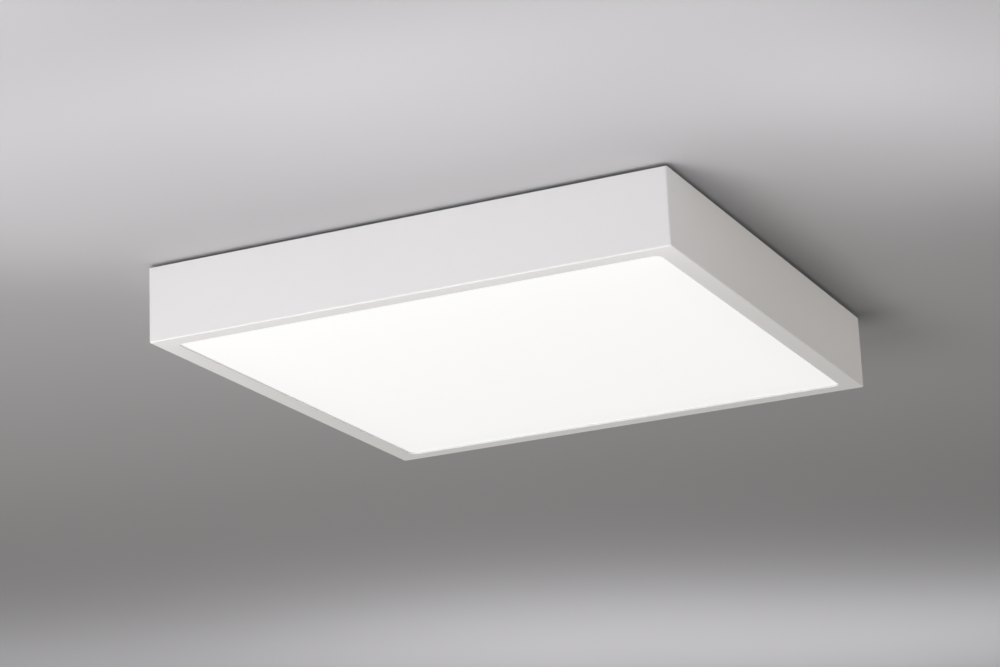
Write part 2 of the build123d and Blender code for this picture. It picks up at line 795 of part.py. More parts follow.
# Leads from the terminal block to the driver and to the earth stud
lead(
    "lead_line",
    [
        (-pole_pitch, block_rear + lead_inside, lead_level),
        (-pole_pitch, line_run, lead_level),
        (line_turn, line_run, lead_level),
        (line_turn, pole_far, lead_level),
        (-driver_end + lead_inside, pole_far, lead_level),
    ],
    [short_bend, wide_bend, wide_bend],
    lead_radius,
)
lead(
    "lead_neutral",
    [
        (0, block_rear + lead_inside, lead_level),
        (0, neutral_run, lead_level),
        (neutral_turn, neutral_run, lead_level),
        (neutral_turn, pole_near, lead_level),
        (-driver_end + lead_inside, pole_near, lead_level),
    ],
    [lead_bend, lead_bend, lead_bend],
    lead_radius,
)
lead(
    "lead_earth",
    [
        (pole_pitch, block_rear + lead_inside, lead_level),
        (pole_pitch, earth_run, lead_level),
        (barrel_start + earth_barrel - barrel_wall, earth_run, lead_level),
    ],
    [lead_bend],
    lead_radius,
)

# LED leads from the driver through the bush to the first board
for name, pole, x in (
    ("lead_led_plus", pole_near, bush_place - led_lead_pitch / 2),
    ("lead_led_minus", pole_far, bush_place + led_lead_pitch / 2),
):
    lead(
        name,
        [
            (driver_end - lead_inside, pole, lead_level),
            (x, pole, lead_level),
            (x, 0, lead_level),
            (x, 0, link_level),
            (x, -connector_place, link_level),
        ],
        [led_bend, lead_bend, tight_bend],
        led_lead_radius,
    )
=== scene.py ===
import math
from functools import cache

import bmesh
import bpy
from mathutils import Euler, Matrix, Vector


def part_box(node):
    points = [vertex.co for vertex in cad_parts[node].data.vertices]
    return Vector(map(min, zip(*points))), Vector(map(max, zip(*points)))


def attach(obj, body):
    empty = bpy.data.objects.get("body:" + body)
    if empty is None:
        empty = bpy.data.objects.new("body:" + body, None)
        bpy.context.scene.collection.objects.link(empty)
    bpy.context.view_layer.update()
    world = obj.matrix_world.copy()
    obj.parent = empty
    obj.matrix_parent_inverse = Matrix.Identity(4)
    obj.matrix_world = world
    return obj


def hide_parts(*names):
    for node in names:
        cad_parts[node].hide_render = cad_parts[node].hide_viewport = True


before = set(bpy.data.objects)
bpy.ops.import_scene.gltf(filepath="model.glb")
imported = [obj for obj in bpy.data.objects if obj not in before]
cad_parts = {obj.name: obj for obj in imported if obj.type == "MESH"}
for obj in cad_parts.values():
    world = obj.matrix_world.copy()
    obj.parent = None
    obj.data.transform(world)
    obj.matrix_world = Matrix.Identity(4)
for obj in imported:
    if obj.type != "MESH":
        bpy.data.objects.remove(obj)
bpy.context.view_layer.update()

bl_info = {
    "name": "Square LED ceiling light",
    "version": (1, 0, 0),
    "blender": (4, 5, 0),
    "location": "3D View > Sidebar > Ceiling light",
    "description": "Finishes, fasteners and stage for a square LED ceiling light",
    "category": "Object",
}

MM = 0.001
COVER = "cover"
GEAR = "ceiling_gear"
SIDE_TURNS = {"right": 0.0, "back": math.pi / 2, "left": math.pi, "front": -math.pi / 2}
HANDS = (-1, 1)
BOARDS = range(1, 5)
WHITE = (1.0, 1.0, 1.0, 1.0)
SHARP = 32.0

HOUSING_LOW, HOUSING_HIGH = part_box("housing_frame")


# Sizes and colours


def length(name, default, note):
    """A size in metres."""
    return bpy.props.FloatProperty(
        name=name, description=note, default=default, min=0.0, unit="LENGTH", subtype="DISTANCE", precision=5
    )


def colour(name, default, note):
    """A colour without alpha."""
    return bpy.props.FloatVectorProperty(
        name=name, description=note, default=default, min=0.0, max=1.0, size=3, subtype="COLOR"
    )


def strength(name, default, note, most):
    """A plain strength from 0 up."""
    return bpy.props.FloatProperty(name=name, description=note, default=default, min=0.0, max=most)


def count(name, default, note, least, most):
    """A whole number."""
    return bpy.props.IntProperty(name=name, description=note, default=default, min=least, max=most)


def triple(name, default, note, subtype, unit):
    """A place or a turn."""
    return bpy.props.FloatVectorProperty(
        name=name, description=note, default=default, size=3, subtype=subtype, unit=unit
    )


class CoverSizes(bpy.types.PropertyGroup):
    """Sizes of the folded cover."""

    sheet: length("Sheet", 1.5 * MM, "Thickness of the folded steel")
    rim_width: length("Rim width", 14.5 * MM, "From the wall's outside to the window")
    window_radius: length("Window corners", 5.5 * MM, "Radius of the window's corners")
    corner_radius: length("Upright edges", 1.5 * MM, "Radius of the welded upright edges")
    edge_radius: length("Lower edges", 1.0 * MM, "Radius of the fold between wall and rim")
    edge_break: length("Cut edges", 0.35 * MM, "Radius of the coated cut edges")
    inner_break: length("Inner edges", 0.2 * MM, "Width of the small bevel on the hidden cut edges")
    corner_steps: count("Corner steps", 8, "Faces round each corner", 2, 24)
    fold_steps: count("Fold steps", 10, "Faces round the lower edge", 2, 24)
    edge_steps: count("Edge steps", 4, "Faces round each cut edge", 2, 24)


class FastenerSizes(bpy.types.PropertyGroup):
    """Sizes and places of the screws, nuts and rivets."""

    nut_width: length("Nut width", 5.5 * MM, "Across the flats of a clamp nut")
    stud_radius: length("Stud radius", 1.5 * MM, "Outside of a clamp stud's thread")
    stud_out: length("Stud place", 110.0 * MM, "From a wall's middle to a clamp stud")
    stud_pitch: length("Stud thread", 0.5 * MM, "From one turn of a stud's thread to the next")
    rivet_head: length("Rivet head", 2.8 * MM, "Radius of a latch rivet's head")
    rivet_inside: length("Rivet's inner end", 181.5 * MM, "From the light's middle to a rivet's inner end")
    rivet_out: length("Rivet place", 7.0 * MM, "From a latch spring's middle to a rivet")
    screw_head: length("Screw head", 4.0 * MM, "Radius of a pan head")
    screw_pitch: length("Screw thread", 0.7 * MM, "From one turn of a screw's thread to the next")
    screw_seed: count("Turn seed", 7, "Picks how far each fastener is turned", 0, 10000)


class BoardSizes(bpy.types.PropertyGroup):
    """Sizes on the LED boards."""

    led_pitch: length("LED pitch", 33.0 * MM, "From one LED to the next")
    led_start: length("First LED", 17.0 * MM, "From the light's middle to the first row")
    led_width: length("LED width", 2.8 * MM, "Short side of an LED")
    led_length: length("LED length", 3.5 * MM, "Long side of an LED")
    led_height: length("LED height", 0.8 * MM, "How far an LED stands off its board")
    led_rows: count("LED rows", 5, "Rows of LEDs on each board", 1, 12)
    rivet_spread: length("Rivet spread", 72.5 * MM, "From a board's middle to a push rivet, each way")
    connector_in: length("Connector edge", 10.5 * MM, "From the light's middle line to a connector")
    link_out: length("Link place", 66.5 * MM, "From the light's middle to a linking connector")
    supply_out: length("Supply place", 118.0 * MM, "From the light's middle to the supply connector")


class FinishColours(bpy.types.PropertyGroup):
    """Colours of the finishes."""

    powder: colour("Powder coat", (0.800, 0.800, 0.795), "White coat of the cover")
    opal: colour("Opal sheet", (0.450, 0.450, 0.448), "Body colour of the diffuser")
    tray: colour("Tray white", (0.840, 0.840, 0.830), "Reflector coat of the LED plate")
    zinc: colour("Zinc", (0.640, 0.650, 0.665), "Plated and galvanised steel")
    spring: colour("Spring steel", (0.520, 0.515, 0.500), "Latch springs")
    rubber: colour("Rubber", (0.022, 0.022, 0.023), "Grommet and bush")
    board: colour("Board mask", (0.830, 0.835, 0.820), "Solder mask of the LED boards")
    nylon: colour("Nylon", (0.790, 0.785, 0.750), "Connectors, rivets and terminal block")
    driver: colour("Driver case", (0.780, 0.785, 0.790), "Moulded case of the driver")
    brass: colour("Brass", (0.780, 0.600, 0.310), "Contacts and earth nut")
    glow: strength("Glow", 0.572, "Light that the diffuser gives off", 2.0)


class StageSettings(bpy.types.PropertyGroup):
    """Camera, ceiling and room light."""

    camera_place: triple(
        "Camera place", (0.83408, -1.87122, -0.66034), "Where the camera stands", "TRANSLATION", "LENGTH"
    )
    camera_turn: triple(
        "Camera turn", tuple(math.radians(angle) for angle in (107.0557, 2.4024, 25.1959)),
        "How the camera is turned", "EULER", "ROTATION",
    )
    camera_lens: bpy.props.FloatProperty(
        name="Lens", description="Focal length for a 36 mm wide picture", default=103.42, min=1.0,
        unit="CAMERA",
    )
    ceiling_reach: length("Ceiling reach", 7.0, "From the middle of the ceiling to its edges")
    ceiling_colour: colour("Ceiling", (0.416, 0.417, 0.424), "Paint of the ceiling")
    world_light: strength("Room light", 0.12, "Even light from all sides", 2.0)
    background: strength("Background", 0.66, "Pale grey seen where there is no ceiling", 1.0)


# Node helpers


def plug(tree, target, value):
    """Links an input to another node, or sets it to a plain value."""
    if isinstance(value, bpy.types.NodeSocket):
        tree.links.new(value, target)
    else:
        target.default_value = value


def feed(tree, node, values):
    """Links or sets a node's inputs by name."""
    for label, value in values.items():
        plug(tree, next(s for s in node.inputs if s.name == label and s.enabled), value)
    return node


def add(tree, kind, values=None, **settings):
    """A new node with its settings and inputs."""
    node = tree.nodes.new(kind)
    for key, value in settings.items():
        setattr(node, key, value)
    return feed(tree, node, values or {})


def out(node, label):
    """A node's shown output by name."""
    return next(s for s in node.outputs if s.name == label and s.enabled)


def declare(tree, inputs):
    """Named inputs of a group: a number or colour is a default, a word is the kind of thing that goes in."""
    kinds = {float: "Float", int: "Int", tuple: "Color"}
    for label, value in inputs.items():
        word = isinstance(value, str)
        kind = value if word else kinds[type(value)]
        made = tree.interface.new_socket(label, in_out="INPUT", socket_type="NodeSocket" + kind)
        if not word:
            made.default_value = value


def math_node(tree, operation, first, second=0.0, third=0.0):
    """One step of arithmetic."""
    node = add(tree, "ShaderNodeMath", operation=operation)
    for target, value in zip(node.inputs, (first, second, third)):
        plug(tree, target, value)
    return node.outputs[0]


def mix_colour(tree, share, first, second):
    """Mixes two colours by a share."""
    node = add(tree, "ShaderNodeMix", {"Factor": share}, data_type="RGBA")
    return out(feed(tree, node, {"A": first, "B": second}), "Result")


def spread(tree, value, low, high):
    """Spreads a value from 0-1 over a range."""
    return out(add(tree, "ShaderNodeMapRange", {"Value": value, "To Min": low, "To Max": high}), "Result")


def noise(tree, place, scale, detail=2.0, rough=0.5):
    """Even noise between 0 and 1."""
    values = {"Vector": place, "Scale": scale, "Detail": detail, "Roughness": rough}
    return add(tree, "ShaderNodeTexNoise", values).outputs[0]


def brighten(tree, tint, amount):
    """Makes a colour lighter or darker by a varying amount."""
    return add(tree, "ShaderNodeHueSaturation", {"Color": tint, "Value": amount}).outputs[0]


def clouded(tree, tint, cloud, change):
    """A colour that gets lighter and darker with a cloud, by a share either way."""
    low, high = (math_node(tree, way, 1.0, change) for way in ("SUBTRACT", "ADD"))
    return brighten(tree, tint, spread(tree, cloud, low, high))


def object_place(tree):
    """The place on the object, as X, Y and Z."""
    place = add(tree, "ShaderNodeTexCoord").outputs["Object"]
    return add(tree, "ShaderNodeSeparateXYZ", {"Vector": place}).outputs


# Skins and finishes


def skin_group(name, numbers):
    """An empty skin: a colour and numbers go in, and a colour, roughness and height come out."""
    tree = bpy.data.node_groups.new(name, "ShaderNodeTree")
    declare(tree, {"Colour": WHITE, **numbers})
    for label, kind in (("Colour", "Color"), ("Roughness", "Float"), ("Height", "Float")):
        tree.interface.new_socket(label, in_out="OUTPUT", socket_type="NodeSocket" + kind)
    place = add(tree, "ShaderNodeTexCoord").outputs["Object"]
    return tree, add(tree, "NodeGroupInput").outputs, place


def close_group(tree, tint, roughness, height):
    """Joins a skin's three outputs."""
    add(tree, "NodeGroupOutput", {"Colour": tint, "Roughness": roughness, "Height": height})
    return tree


@cache
def coat_skin():
    """Sprayed coat: a fine orange peel, a faint change of tone and of gloss."""
    tree, given, place = skin_group(
        "coat_skin", {"Peel Size": 1.1 * MM, "Roughness": 0.45, "Tone Change": 0.02}
    )
    peel = noise(tree, place, math_node(tree, "DIVIDE", 1.0, given["Peel Size"]), detail=1.5, rough=0.45)
    cloud = noise(tree, place, scale=9.0, detail=3.0)
    speck = noise(tree, place, scale=260.0)
    tint = clouded(tree, given["Colour"], cloud, given["Tone Change"])
    gloss = math_node(tree, "MULTIPLY", given["Roughness"], spread(tree, speck, low=0.90, high=1.10))
    return close_group(tree, tint, gloss, peel)


@cache
def zinc_skin():
    """Zinc on steel: crystals of the zinc, rolling streaks and a patchy gloss."""
    tree, given, place = skin_group("zinc_skin", {
        "Crystal Size": 7.0 * MM, "Crystal Contrast": 0.10, "Streak Contrast": 0.05, "Roughness": 0.45,
    })
    size, streak_scale = given["Crystal Size"], (6.0, 900.0, 900.0)
    scale = math_node(tree, "DIVIDE", 1.0, size)
    warp_scale, warp_reach = math_node(tree, "MULTIPLY", scale, 2.2), math_node(tree, "MULTIPLY", size, 0.55)
    warp = add(tree, "ShaderNodeTexNoise", {"Vector": place, "Scale": warp_scale, "Detail": 3.0})
    bent = add(tree, "ShaderNodeVectorMath", operation="MULTIPLY_ADD")
    for target, source in zip(bent.inputs, (warp.outputs["Color"], warp_reach, place)):
        plug(tree, target, source)
    crystal = add(tree, "ShaderNodeTexVoronoi", {"Vector": bent.outputs[0], "Scale": scale})
    grey = add(tree, "ShaderNodeSeparateColor", {"Color": crystal.outputs["Color"]}).outputs
    along = add(tree, "ShaderNodeMapping", {"Vector": place, "Scale": streak_scale})
    streak = noise(tree, along.outputs[0], scale=1.0)
    facet, line = (
        math_node(tree, "MULTIPLY", math_node(tree, "SUBTRACT", value, 0.5), given[label])
        for value, label in ((grey[0], "Crystal Contrast"), (streak, "Streak Contrast"))
    )
    change = math_node(tree, "ADD", facet, line)
    tint = brighten(tree, given["Colour"], math_node(tree, "ADD", 1.0, change))
    gloss = math_node(tree, "MULTIPLY_ADD", change, 0.5, given["Roughness"])
    return close_group(tree, tint, gloss, math_node(tree, "MULTIPLY_ADD", streak, 0.4, grey[1]))


@cache
def moulded_skin():
    """Moulded plastic or rubber: a spark-eroded grain and faint flow marks."""
    tree, given, place = skin_group(
        "moulded_skin", {"Grain Size": 0.35 * MM, "Roughness": 0.5, "Flow Marks": 0.04}
    )
    grain = noise(tree, place, math_node(tree, "DIVIDE", 1.0, given["Grain Size"]))
    flow = noise(tree, place, scale=55.0, detail=2.5)
    tint = clouded(tree, given["Colour"], flow, given["Flow Marks"])
    gloss = math_node(tree, "MULTIPLY", given["Roughness"], spread(tree, grain, low=0.88, high=1.12))
    return close_group(tree, tint, gloss, grain)


FINISHES = {}


def finish(name, skin, tint, values, bump, metallic=0.0, **constants):
    """A finish from one of the skins, made once; constants go straight on the shader."""
    if name in FINISHES:
        return FINISHES[name]
    material = FINISHES[name] = bpy.data.materials.new(name)
    material.use_nodes = True
    tree = material.node_tree
    group = add(tree, "ShaderNodeGroup", {"Colour": (*tint, 1.0), **values}, node_tree=skin).outputs
    feed(tree, tree.nodes["Principled BSDF"], {
        "Base Color": group["Colour"], "Roughness": group["Roughness"], "Metallic": metallic,
        **{label.replace("_", " "): value for label, value in constants.items()},
    })
    if bump:
        raise_by(material, group["Height"], bump)
    return material


def raise_by(material, height, distance):
    """Lets a height show in a finish's shading."""
    tree = material.node_tree
    relief = add(tree, "ShaderNodeBump", {"Strength": 1.0, "Distance": distance, "Height": height})
    feed(tree, tree.nodes["Principled BSDF"], {"Normal": relief.outputs[0]})


def coat(name, tint, rough=0.60, peel=1.1 * MM):
    """Sprayed coat on steel."""
    return finish(name, coat_skin(), tint, {"Peel Size": peel, "Roughness": rough}, bump=0.012 * MM)


def zinc(name, tint, rough, crystal, contrast, streak=0.05):
    """Bare or plated metal."""
    values = {
        "Crystal Size": crystal, "Crystal Contrast": contrast, "Streak Contrast": streak, "Roughness": rough,
    }
    return finish(name, zinc_skin(), tint, values, bump=0.004 * MM, metallic=1.0)


def moulded(name, tint, rough, grain=0.4 * MM, flow=0.04, bump=0.006 * MM, **constants):
    """Moulded plastic, rubber or wire insulation."""
    values = {"Grain Size": grain, "Roughness": rough, "Flow Marks": flow}
    return finish(name, moulded_skin(), tint, values, bump, **constants)


def plated_finish(colours):
    """Bright zinc of the small fasteners."""
    return zinc("plated_fasteners", colours.zinc, rough=0.34, crystal=1.5 * MM, contrast=0.06)


def solder_finish():
    """Tin of the soldered ends."""
    return zinc("solder_tin", (0.70, 0.70, 0.69), rough=0.26, crystal=0.4 * MM, contrast=0.08)


def finish_parts(material):
    """A finish's tree, with its skin's outputs and its shader."""
    tree = material.node_tree
    skin = next(node for node in tree.nodes if node.type == "GROUP")
    return tree, skin.outputs, tree.nodes["Principled BSDF"]


def dress(material, *nodes):
    """Gives packed pieces a finish."""
    for name in nodes:
        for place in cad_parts[name].material_slots:
            place.material = material


# Mesh helpers


def circle(radius, level, sides):
    """Points round the axis at one level."""
    angles = (i / sides * math.tau for i in range(sides))
    return [Vector((radius * math.cos(angle), radius * math.sin(angle), level)) for angle in angles]


def rounded_square(half, radius, level, steps):
    """Points of a square with rounded corners, all the way round."""
    points = []
    for quarter in range(4):
        start = quarter * math.pi / 2
        middle = Vector((half - radius, half - radius, 0.0))
        middle.rotate(Euler((0.0, 0.0, start)))
        for step in range(steps + 1):
            angle = start + step / steps * math.pi / 2
            points.append(middle + Vector((radius * math.cos(angle), radius * math.sin(angle), level)))
    return points


def quarter_round(radius, steps):
    """Steps round a quarter of a circle, from (radius, 0) to (0, radius)."""
    for step in range(steps + 1):
        angle = step / steps * math.pi / 2
        yield radius * (1 - math.sin(angle)), radius * (1 - math.cos(angle))


def bridged(rings, closed=False):
    """A mesh through rings with equal counts of points."""
    mesh = bmesh.new()
    loops = [[mesh.verts.new(point) for point in ring] for ring in rings]
    pairs = list(zip(loops, loops[1:] + loops[:1]))
    for low, high in pairs if closed else pairs[:-1]:
        for i in range(len(low)):
            j = (i + 1) % len(low)
            mesh.faces.new((low[i], low[j], high[j], high[i]))
    return mesh, loops


def turned(profile, sides):
    """A closed turned shape from (radius, level) points that start and end on the axis."""
    mesh, loops = bridged([circle(radius, level, sides) for radius, level in profile[1:-1]])
    for ring, (_, level) in ((loops[0], profile[0]), (loops[-1], profile[-1])):
        pole = mesh.verts.new((0.0, 0.0, level))
        for i in range(sides):
            mesh.faces.new((pole, ring[i], ring[(i + 1) % sides]))
    return mesh


def boxed(across, half, along, levels):
    """A block from its middle and half width across, its two ends along and its two levels."""
    low, high = (across - half, along[0], levels[0]), (across + half, along[1], levels[1])
    mesh = bmesh.new()
    bmesh.ops.create_cube(mesh, size=1.0)
    bmesh.ops.scale(mesh, vec=[h - l for l, h in zip(low, high)], verts=mesh.verts)
    bmesh.ops.translate(mesh, vec=[(h + l) / 2 for l, h in zip(low, high)], verts=mesh.verts)
    return mesh


def bevelled(mesh, width, steps):
    """Rounds all the edges of a block."""
    bmesh.ops.bevel(
        mesh, geom=mesh.edges[:], offset=width, segments=steps, profile=0.5, affect="EDGES",
        clamp_overlap=True,
    )
    return mesh


def joined(*parts):
    """One mesh from several."""
    whole = bmesh.new()
    for part in parts:
        loose = bpy.data.meshes.new("loose")
        part.to_mesh(loose)
        part.free()
        whole.from_mesh(loose)
        bpy.data.meshes.remove(loose)
    return whole


def smooth(mesh, angle=SHARP):
    """Smooth faces with sharp edges kept."""
    mesh.shade_smooth()
    mesh.set_sharp_from_angle(angle=math.radians(angle))


def shown(name, data):
    """A mesh, lamp or camera in the scene."""
    item = bpy.data.objects.new(name, data)
    bpy.context.scene.collection.objects.link(item)
    return item


def formed(name, shape, angle=SHARP):
    """A shape in the scene, with its faces turned outwards."""
    bmesh.ops.remove_doubles(shape, verts=shape.verts, dist=1e-7)
    bmesh.ops.recalc_face_normals(shape, faces=shape.faces)
    mesh = bpy.data.meshes.new(name)
    shape.to_mesh(mesh)
    shape.free()
    smooth(mesh, angle)
    return shown(name, mesh)


def settled(item):
    """Turns an object's modifiers into its plain mesh."""
    graph = bpy.context.evaluated_depsgraph_get()
    mesh = bpy.data.meshes.new_from_object(
        item.evaluated_get(graph), preserve_all_data_layers=True, depsgraph=graph
    )
    item.modifiers.clear()
    old = item.data
    item.data = mesh
    bpy.data.meshes.remove(old)


def discard(item):
    """Removes a helper object with its mesh."""
    mesh = item.data
    bpy.data.objects.remove(item)
    bpy.data.meshes.remove(mesh)


def carved(name, shape, cutters, angle=SHARP):
    """A shape with other shapes cut out of it."""
    item = formed(name, shape, angle)
    tools = [formed(name + "_tool", cutter) for cutter in cutters]
    for tool in tools:
        cut = item.modifiers.new("cut", "BOOLEAN")
        cut.operation, cut.solver, cut.object = "DIFFERENCE", "EXACT", tool
    settled(item)
    for tool in tools:
        discard(tool)
    smooth(item.data, angle)
    return item


def keep(piece, body, slot, *nodes):
    """Lets a finished piece ride on its body, in place of packed nodes."""
    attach(piece, body)
    if nodes:
        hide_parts(*nodes)


# Geometry Nodes


def geometry_tree(name, inputs):
    """An empty tree that takes points and gives back geometry."""
    tree = bpy.data.node_groups.new(name, "GeometryNodeTree")
    declare(tree, {"Points": "Geometry", **inputs})
    tree.interface.new_socket("Geometry", in_out="OUTPUT", socket_type="NodeSocketGeometry")
    return tree, add(tree, "NodeGroupInput").outputs, add(tree, "NodeGroupOutput")


def rotation(tree, euler):
    """A rotation from three angles."""
    return add(tree, "FunctionNodeEulerToRotation", {"Euler": euler}).outputs[0]


def moved(tree, shape, place, **changes):
    """A shape set at a place that is given by its axes."""
    spot = add(tree, "ShaderNodeCombineXYZ", place).outputs[0]
    return add(tree, "GeometryNodeTransform", {"Geometry": shape, "Translation": spot, **changes}).outputs[0]


def drawn_in(tree, shape, chosen, offset, share):
    """A shape with chosen faces pushed out or in and made smaller, and those faces."""
    values = {"Mesh": shape, "Selection": chosen, "Offset Scale": offset}
    pushed = add(tree, "GeometryNodeExtrudeMesh", values, mode="FACES").outputs
    values = {"Geometry": pushed["Mesh"], "Selection": pushed["Top"], "Scale": share}
    return add(tree, "GeometryNodeScaleElements", values, domain="FACE").outputs[0], pushed["Top"]


def made_real(tree, instances, material):
    """Instances as plain geometry with a finish."""
    real = add(tree, "GeometryNodeRealizeInstances", {"Geometry": instances}).outputs[0]
    return add(tree, "GeometryNodeSetMaterial", {"Geometry": real, "Material": material}).outputs[0]


@cache
def fastener_tree():
    """Sets one fastener on each point, faced as the point says and turned a little by chance."""
    tree, given, end = geometry_tree(
        "placed_fasteners", {"Fastener": "Object", "Turn": 0.0, "Seed": 0, "Finish": "Material"}
    )
    source = add(tree, "GeometryNodeObjectInfo", {"Object": given["Fastener"]})
    facing = add(tree, "GeometryNodeInputNamedAttribute", {"Name": "facing"}, data_type="FLOAT_VECTOR")
    placing = add(tree, "GeometryNodeInstanceOnPoints", {
        "Points": given["Points"], "Instance": source.outputs["Geometry"],
        "Rotation": rotation(tree, out(facing, "Attribute")),
    })
    limits = {"Min": math_node(tree, "MULTIPLY", given["Turn"], -1.0), "Max": given["Turn"]}
    chance = add(tree, "FunctionNodeRandomValue", {**limits, "Seed": given["Seed"]}, data_type="FLOAT")
    twist = add(tree, "ShaderNodeCombineXYZ", {"Z": out(chance, "Value")}).outputs[0]
    twisted = add(tree, "GeometryNodeRotateInstances", {
        "Instances": placing.outputs[0], "Rotation": rotation(tree, twist), "Local Space": True,
    })
    feed(tree, end, {"Geometry": made_real(tree, twisted.outputs[0], given["Finish"])})
    return tree


@cache
def led_tree():
    """Sets an LED on each point: a cup with its phosphor and two soldered ends."""
    tree, given, end = geometry_tree("leds_on_board", {
        "Width": 2.8 * MM, "Length": 3.5 * MM, "Height": 0.8 * MM, "Cup Depth": 0.14 * MM,
        "Cup": "Material", "Phosphor": "Material", "Solder": "Material",
    })
    width, long, high, depth = (given[label] for label in ("Width", "Length", "Height", "Cup Depth"))
    gel_thick, gel_drop, solder_rise = 0.08 * MM, 0.075 * MM, 0.30 * MM
    size = add(tree, "ShaderNodeCombineXYZ", {"X": width, "Y": long, "Z": high}).outputs[0]
    block = add(tree, "GeometryNodeMeshCube", {"Size": size}).outputs["Mesh"]
    hung = moved(tree, block, {"Z": math_node(tree, "MULTIPLY", high, -0.5)})
    normal = add(tree, "ShaderNodeSeparateXYZ", {"Vector": add(tree, "GeometryNodeInputNormal").outputs[0]})
    under = add(tree, "FunctionNodeCompare", data_type="FLOAT", operation="LESS_THAN")
    feed(tree, under, {"A": normal.outputs["Z"], "B": -0.5})
    lip, inside = drawn_in(tree, hung, out(under, "Result"), offset=0.0, share=0.80)
    sink = math_node(tree, "MULTIPLY", depth, -1.0)
    cup, _ = drawn_in(tree, lip, inside, sink, share=0.90)

    gel_top, gel_bottom = (math_node(tree, "MULTIPLY", width, share) for share in (0.34, 0.24))
    gel = add(tree, "GeometryNodeMeshCone", {
        "Vertices": 14, "Radius Top": gel_top, "Radius Bottom": gel_bottom, "Depth": gel_thick,
    })
    gel_level = math_node(tree, "SUBTRACT", math_node(tree, "SUBTRACT", depth, high), gel_drop)
    phosphor = moved(tree, gel.outputs["Mesh"], {"Z": gel_level}, Scale=(1.0, 1.24, 1.0))

    fillet = add(tree, "GeometryNodeMeshCone", {
        "Vertices": 4, "Radius Top": 0.62 * MM, "Radius Bottom": 0.30 * MM, "Depth": solder_rise,
    })
    squared = {"Geometry": fillet.outputs["Mesh"], "Rotation": (0.0, 0.0, math.pi / 4)}
    square = add(tree, "GeometryNodeTransform", squared).outputs[0]
    ends = add(tree, "GeometryNodeJoinGeometry")
    for half in (0.5, -0.5):
        spot = {"Y": math_node(tree, "MULTIPLY", long, half), "Z": -solder_rise}
        plug(tree, ends.inputs[0], moved(tree, square, spot, Scale=(2.4, 1.0, 1.0)))

    whole = add(tree, "GeometryNodeJoinGeometry")
    for shape, label in ((cup, "Cup"), (phosphor, "Phosphor"), (ends.outputs[0], "Solder")):
        placing = add(tree, "GeometryNodeInstanceOnPoints", {"Points": given["Points"], "Instance": shape})
        plug(tree, whole.inputs[0], made_real(tree, placing.outputs[0], given[label]))
    feed(tree, end, {"Geometry": whole.outputs[0]})
    return tree


def grown(name, tree, points, values):
    """Runs a tree on (place, facing) points and keeps the result as one plain mesh."""
    mesh = bpy.data.meshes.new(name)
    mesh.from_pydata([place for place, facing in points], [], [])
    facings = mesh.attributes.new("facing", "FLOAT_VECTOR", "POINT")
    for item, (place, facing) in zip(facings.data, points):
        item.vector = facing
    piece = shown(name, mesh)
    modifier = piece.modifiers.new("placing", "NODES")
    modifier.node_group = tree
    for entry in tree.interface.items_tree:
        if entry.in_out == "INPUT" and entry.name in values:
            modifier[entry.identifier] = values[entry.name]
    settled(piece)
    if not piece.data.polygons:
        raise RuntimeError(f"{name} came out empty")
    smooth(piece.data)
    return piece


def fastened(name, template, points, material, body, slot, nodes, turn=0.0):
    """Sets a template on points as one piece that stands for packed nodes."""
    seed = bpy.context.scene.light_fasteners.screw_seed
    values = {"Fastener": template, "Turn": turn, "Seed": seed, "Finish": material}
    piece = grown(name, fastener_tree(), points, values)
    discard(template)
    keep(piece, body, slot, *nodes)


def point(x, y, z, turn=0.0):
    """A place with its turn about the upright axis."""
    return Vector((x, y, z)), (0.0, 0.0, turn)


def round_sides(outward, aside, level, tip=0.0):
    """Points a step aside to both hands on each of the four sides, turned with their side."""
    points = []
    for turn in SIDE_TURNS.values():
        for hand in HANDS:
            place = Vector((outward, hand * aside, level))
            place.rotate(Euler((0.0, 0.0, turn)))
            points.append((place, (0.0, tip, turn)))
    return points


# Fastener templates


# One turn of a thread: shares of its height, and of its depth below the crest
THREAD_TURN = ((0.06, 1.0), (0.44, 0.0), (0.62, 0.0), (0.98, 1.0))
THREAD_DEPTH = 0.57


def threaded(radius, low, high, pitch):
    """Profile of a thread between two levels."""
    turns = max(2, round((high - low) / pitch))
    step, depth = (high - low) / turns, THREAD_DEPTH * pitch
    return [(radius - depth * down, low + step * (turn + up))
            for turn in range(turns) for up, down in THREAD_TURN]


def hex_nut(width, height, bore, level, sides=36):
    """A hexagon nut with rounded corners on both faces and a countersunk bore."""
    flat, sixth = width / 2, math.pi / 3
    sink, edge, mouth, land = 0.10 * height, 0.14 * height, bore * 1.14, flat * 0.95

    def face(side, way):
        """Rings from the bore to the flats, at one face."""
        rings = [circle(radius, side + rise, sides)
                 for radius, rise in ((bore, way * sink), (mouth, 0.0), (land, 0.0))]
        for reach, rise in ((flat * 1.05, 0.4 * edge), (flat * 1.16, edge)):
            ring = circle(1.0, 0.0, sides)
            for i, spot in enumerate(ring):
                off = (i / sides * math.tau + sixth / 2) % sixth - sixth / 2
                spot *= min(flat / math.cos(off), reach)
                spot.z = side + way * rise
            rings.append(ring)
        return rings

    return bridged(face(level, 1) + face(level + height, -1)[::-1], closed=True)[0]


